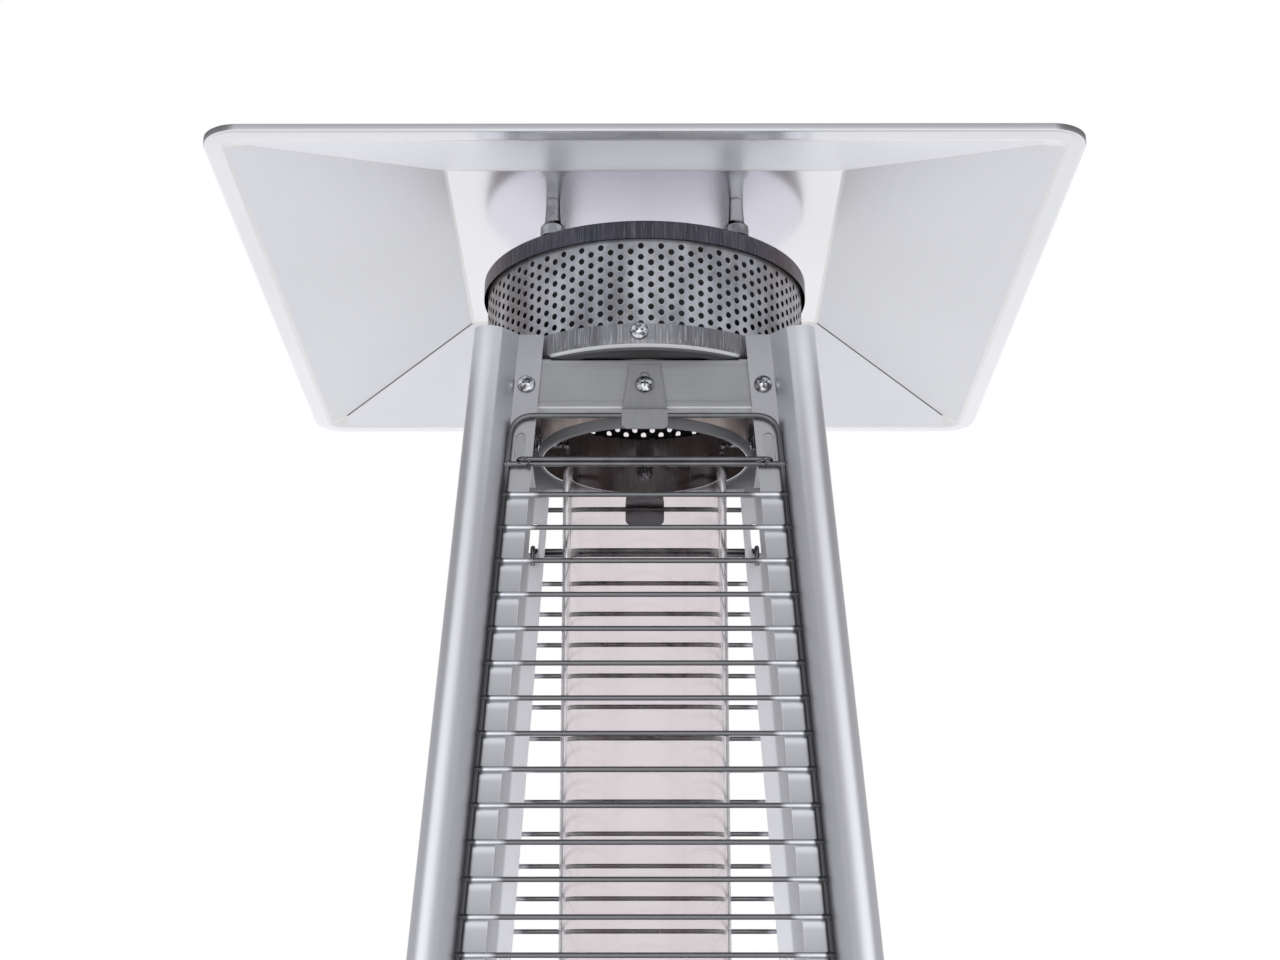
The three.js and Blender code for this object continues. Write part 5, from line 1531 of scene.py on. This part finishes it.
def build_world():
    """White for the eye; for metal a studio with soft lights in front and behind and greyer sides."""
    world = bpy.data.worlds.new("studio")
    bpy.context.scene.world = world
    sky = cleared(world)
    x, y, z = sky.add("SeparateXYZ", [sky.add("TexCoord")["Generated"]])
    across = sky.maths("SQRT", sky.maths("ADD", sky.maths("MULTIPLY", x, x), sky.maths("MULTIPLY", y, y)))
    aside = sky.maths("DIVIDE", sky.maths("ABSOLUTE", x), sky.maths("MAXIMUM", across, 0.001))
    boxes = sky.levels(aside, [(0, 1.35), (0.3, 1.28), (0.48, 0.8), (0.66, 0.52), (0.85, 0.46), (1, 0.48)])
    level = sky.maths("MULTIPLY", boxes, sky.spread(z, 1.0, 0.3, 0.34, 0.52, "SMOOTHSTEP"))
    glossy = sky.add("Background", {"Color": (0.985, 0.985, 1.0), "Strength": level})[0]
    plain = sky.add("Background", {"Color": (1, 1, 1), "Strength": 0.9})[0]
    white = sky.add("Background", {"Color": (1, 1, 1), "Strength": 1})[0]
    lit = sky.add("MixShader", [sky.reflected(), plain, glossy])[0]
    sky.add("OutputWorld", {"Surface": sky.add("MixShader", [sky.seen(), lit, white])[0]})


def build_floor():
    """A pale round floor that fades into the white surroundings and keeps the shadow; seen in metal it glows,
    dimmer near the heater as painted shade.
    """
    sides = 96
    disc = [(*polar(FLOOR_RADIUS, a), 0) for a in turns(sides)], [tuple(range(sides))]
    mesh = raw_mesh("floor", disc)
    material = bpy.data.materials.new("pale_floor")
    ground = cleared(material)
    distance = ground.add("VectorMath", [ground.add("TexCoord")["Object"]], operation="LENGTH")["Value"]
    matte = ground.add("BsdfDiffuse", {"Color": (0.8, 0.8, 0.81)})[0]
    white = ground.add("Emission", {"Strength": 1})[0]
    fade = ground.maths("MULTIPLY", ground.spread(distance, 0, 1, 1.2, 4.5, "SMOOTHSTEP"), ground.seen())
    direct = ground.add("MixShader", [fade, matte, white])[0]
    # Painted shade in reflections: the floor that metal sees glows dimmer near the heater
    stops = [(0, 0.5), (0.1, 0.7), (0.3, 0.82), (0.5, 0.88), (0.72, 1.0), (1, 1.0)]
    strength = ground.levels(ground.maths("DIVIDE", distance, 10), stops)
    mirror = ground.add("Emission", {"Strength": strength})[0]
    surface = ground.add("MixShader", [ground.reflected(), direct, mirror])[0]
    ground.add("OutputMaterial", {"Surface": surface})
    mesh.materials.append(material)
    linked("floor", mesh)


def soft_lamp(name, place, aim, size, power):
    data = bpy.data.lights.new(name, "AREA")
    data.shape = "DISK"
    data.size = size
    data.energy = power
    lamp = linked(name, data)
    lamp.location = place
    lamp.rotation_euler = (Vector(aim) - Vector(place)).to_track_quat("-Z", "Y").to_euler()
    lamp.visible_camera = False
    lamp.visible_glossy = False
    lamp.visible_transmission = False


build_world()
build_floor()
soft_lamp("key", (-1.3, -3.6, 0.9), (0, 0, 1.8), 2.2, 60)
soft_lamp("fill", (1.6, -3.4, 0.9), (0, 0, 1.8), 2.2, 45)
soft_lamp("top", (-0.6, 1.6, 4.4), (0, 0, 1.2), 2.6, 60)
bpy.context.scene.view_settings.view_transform = "Standard"
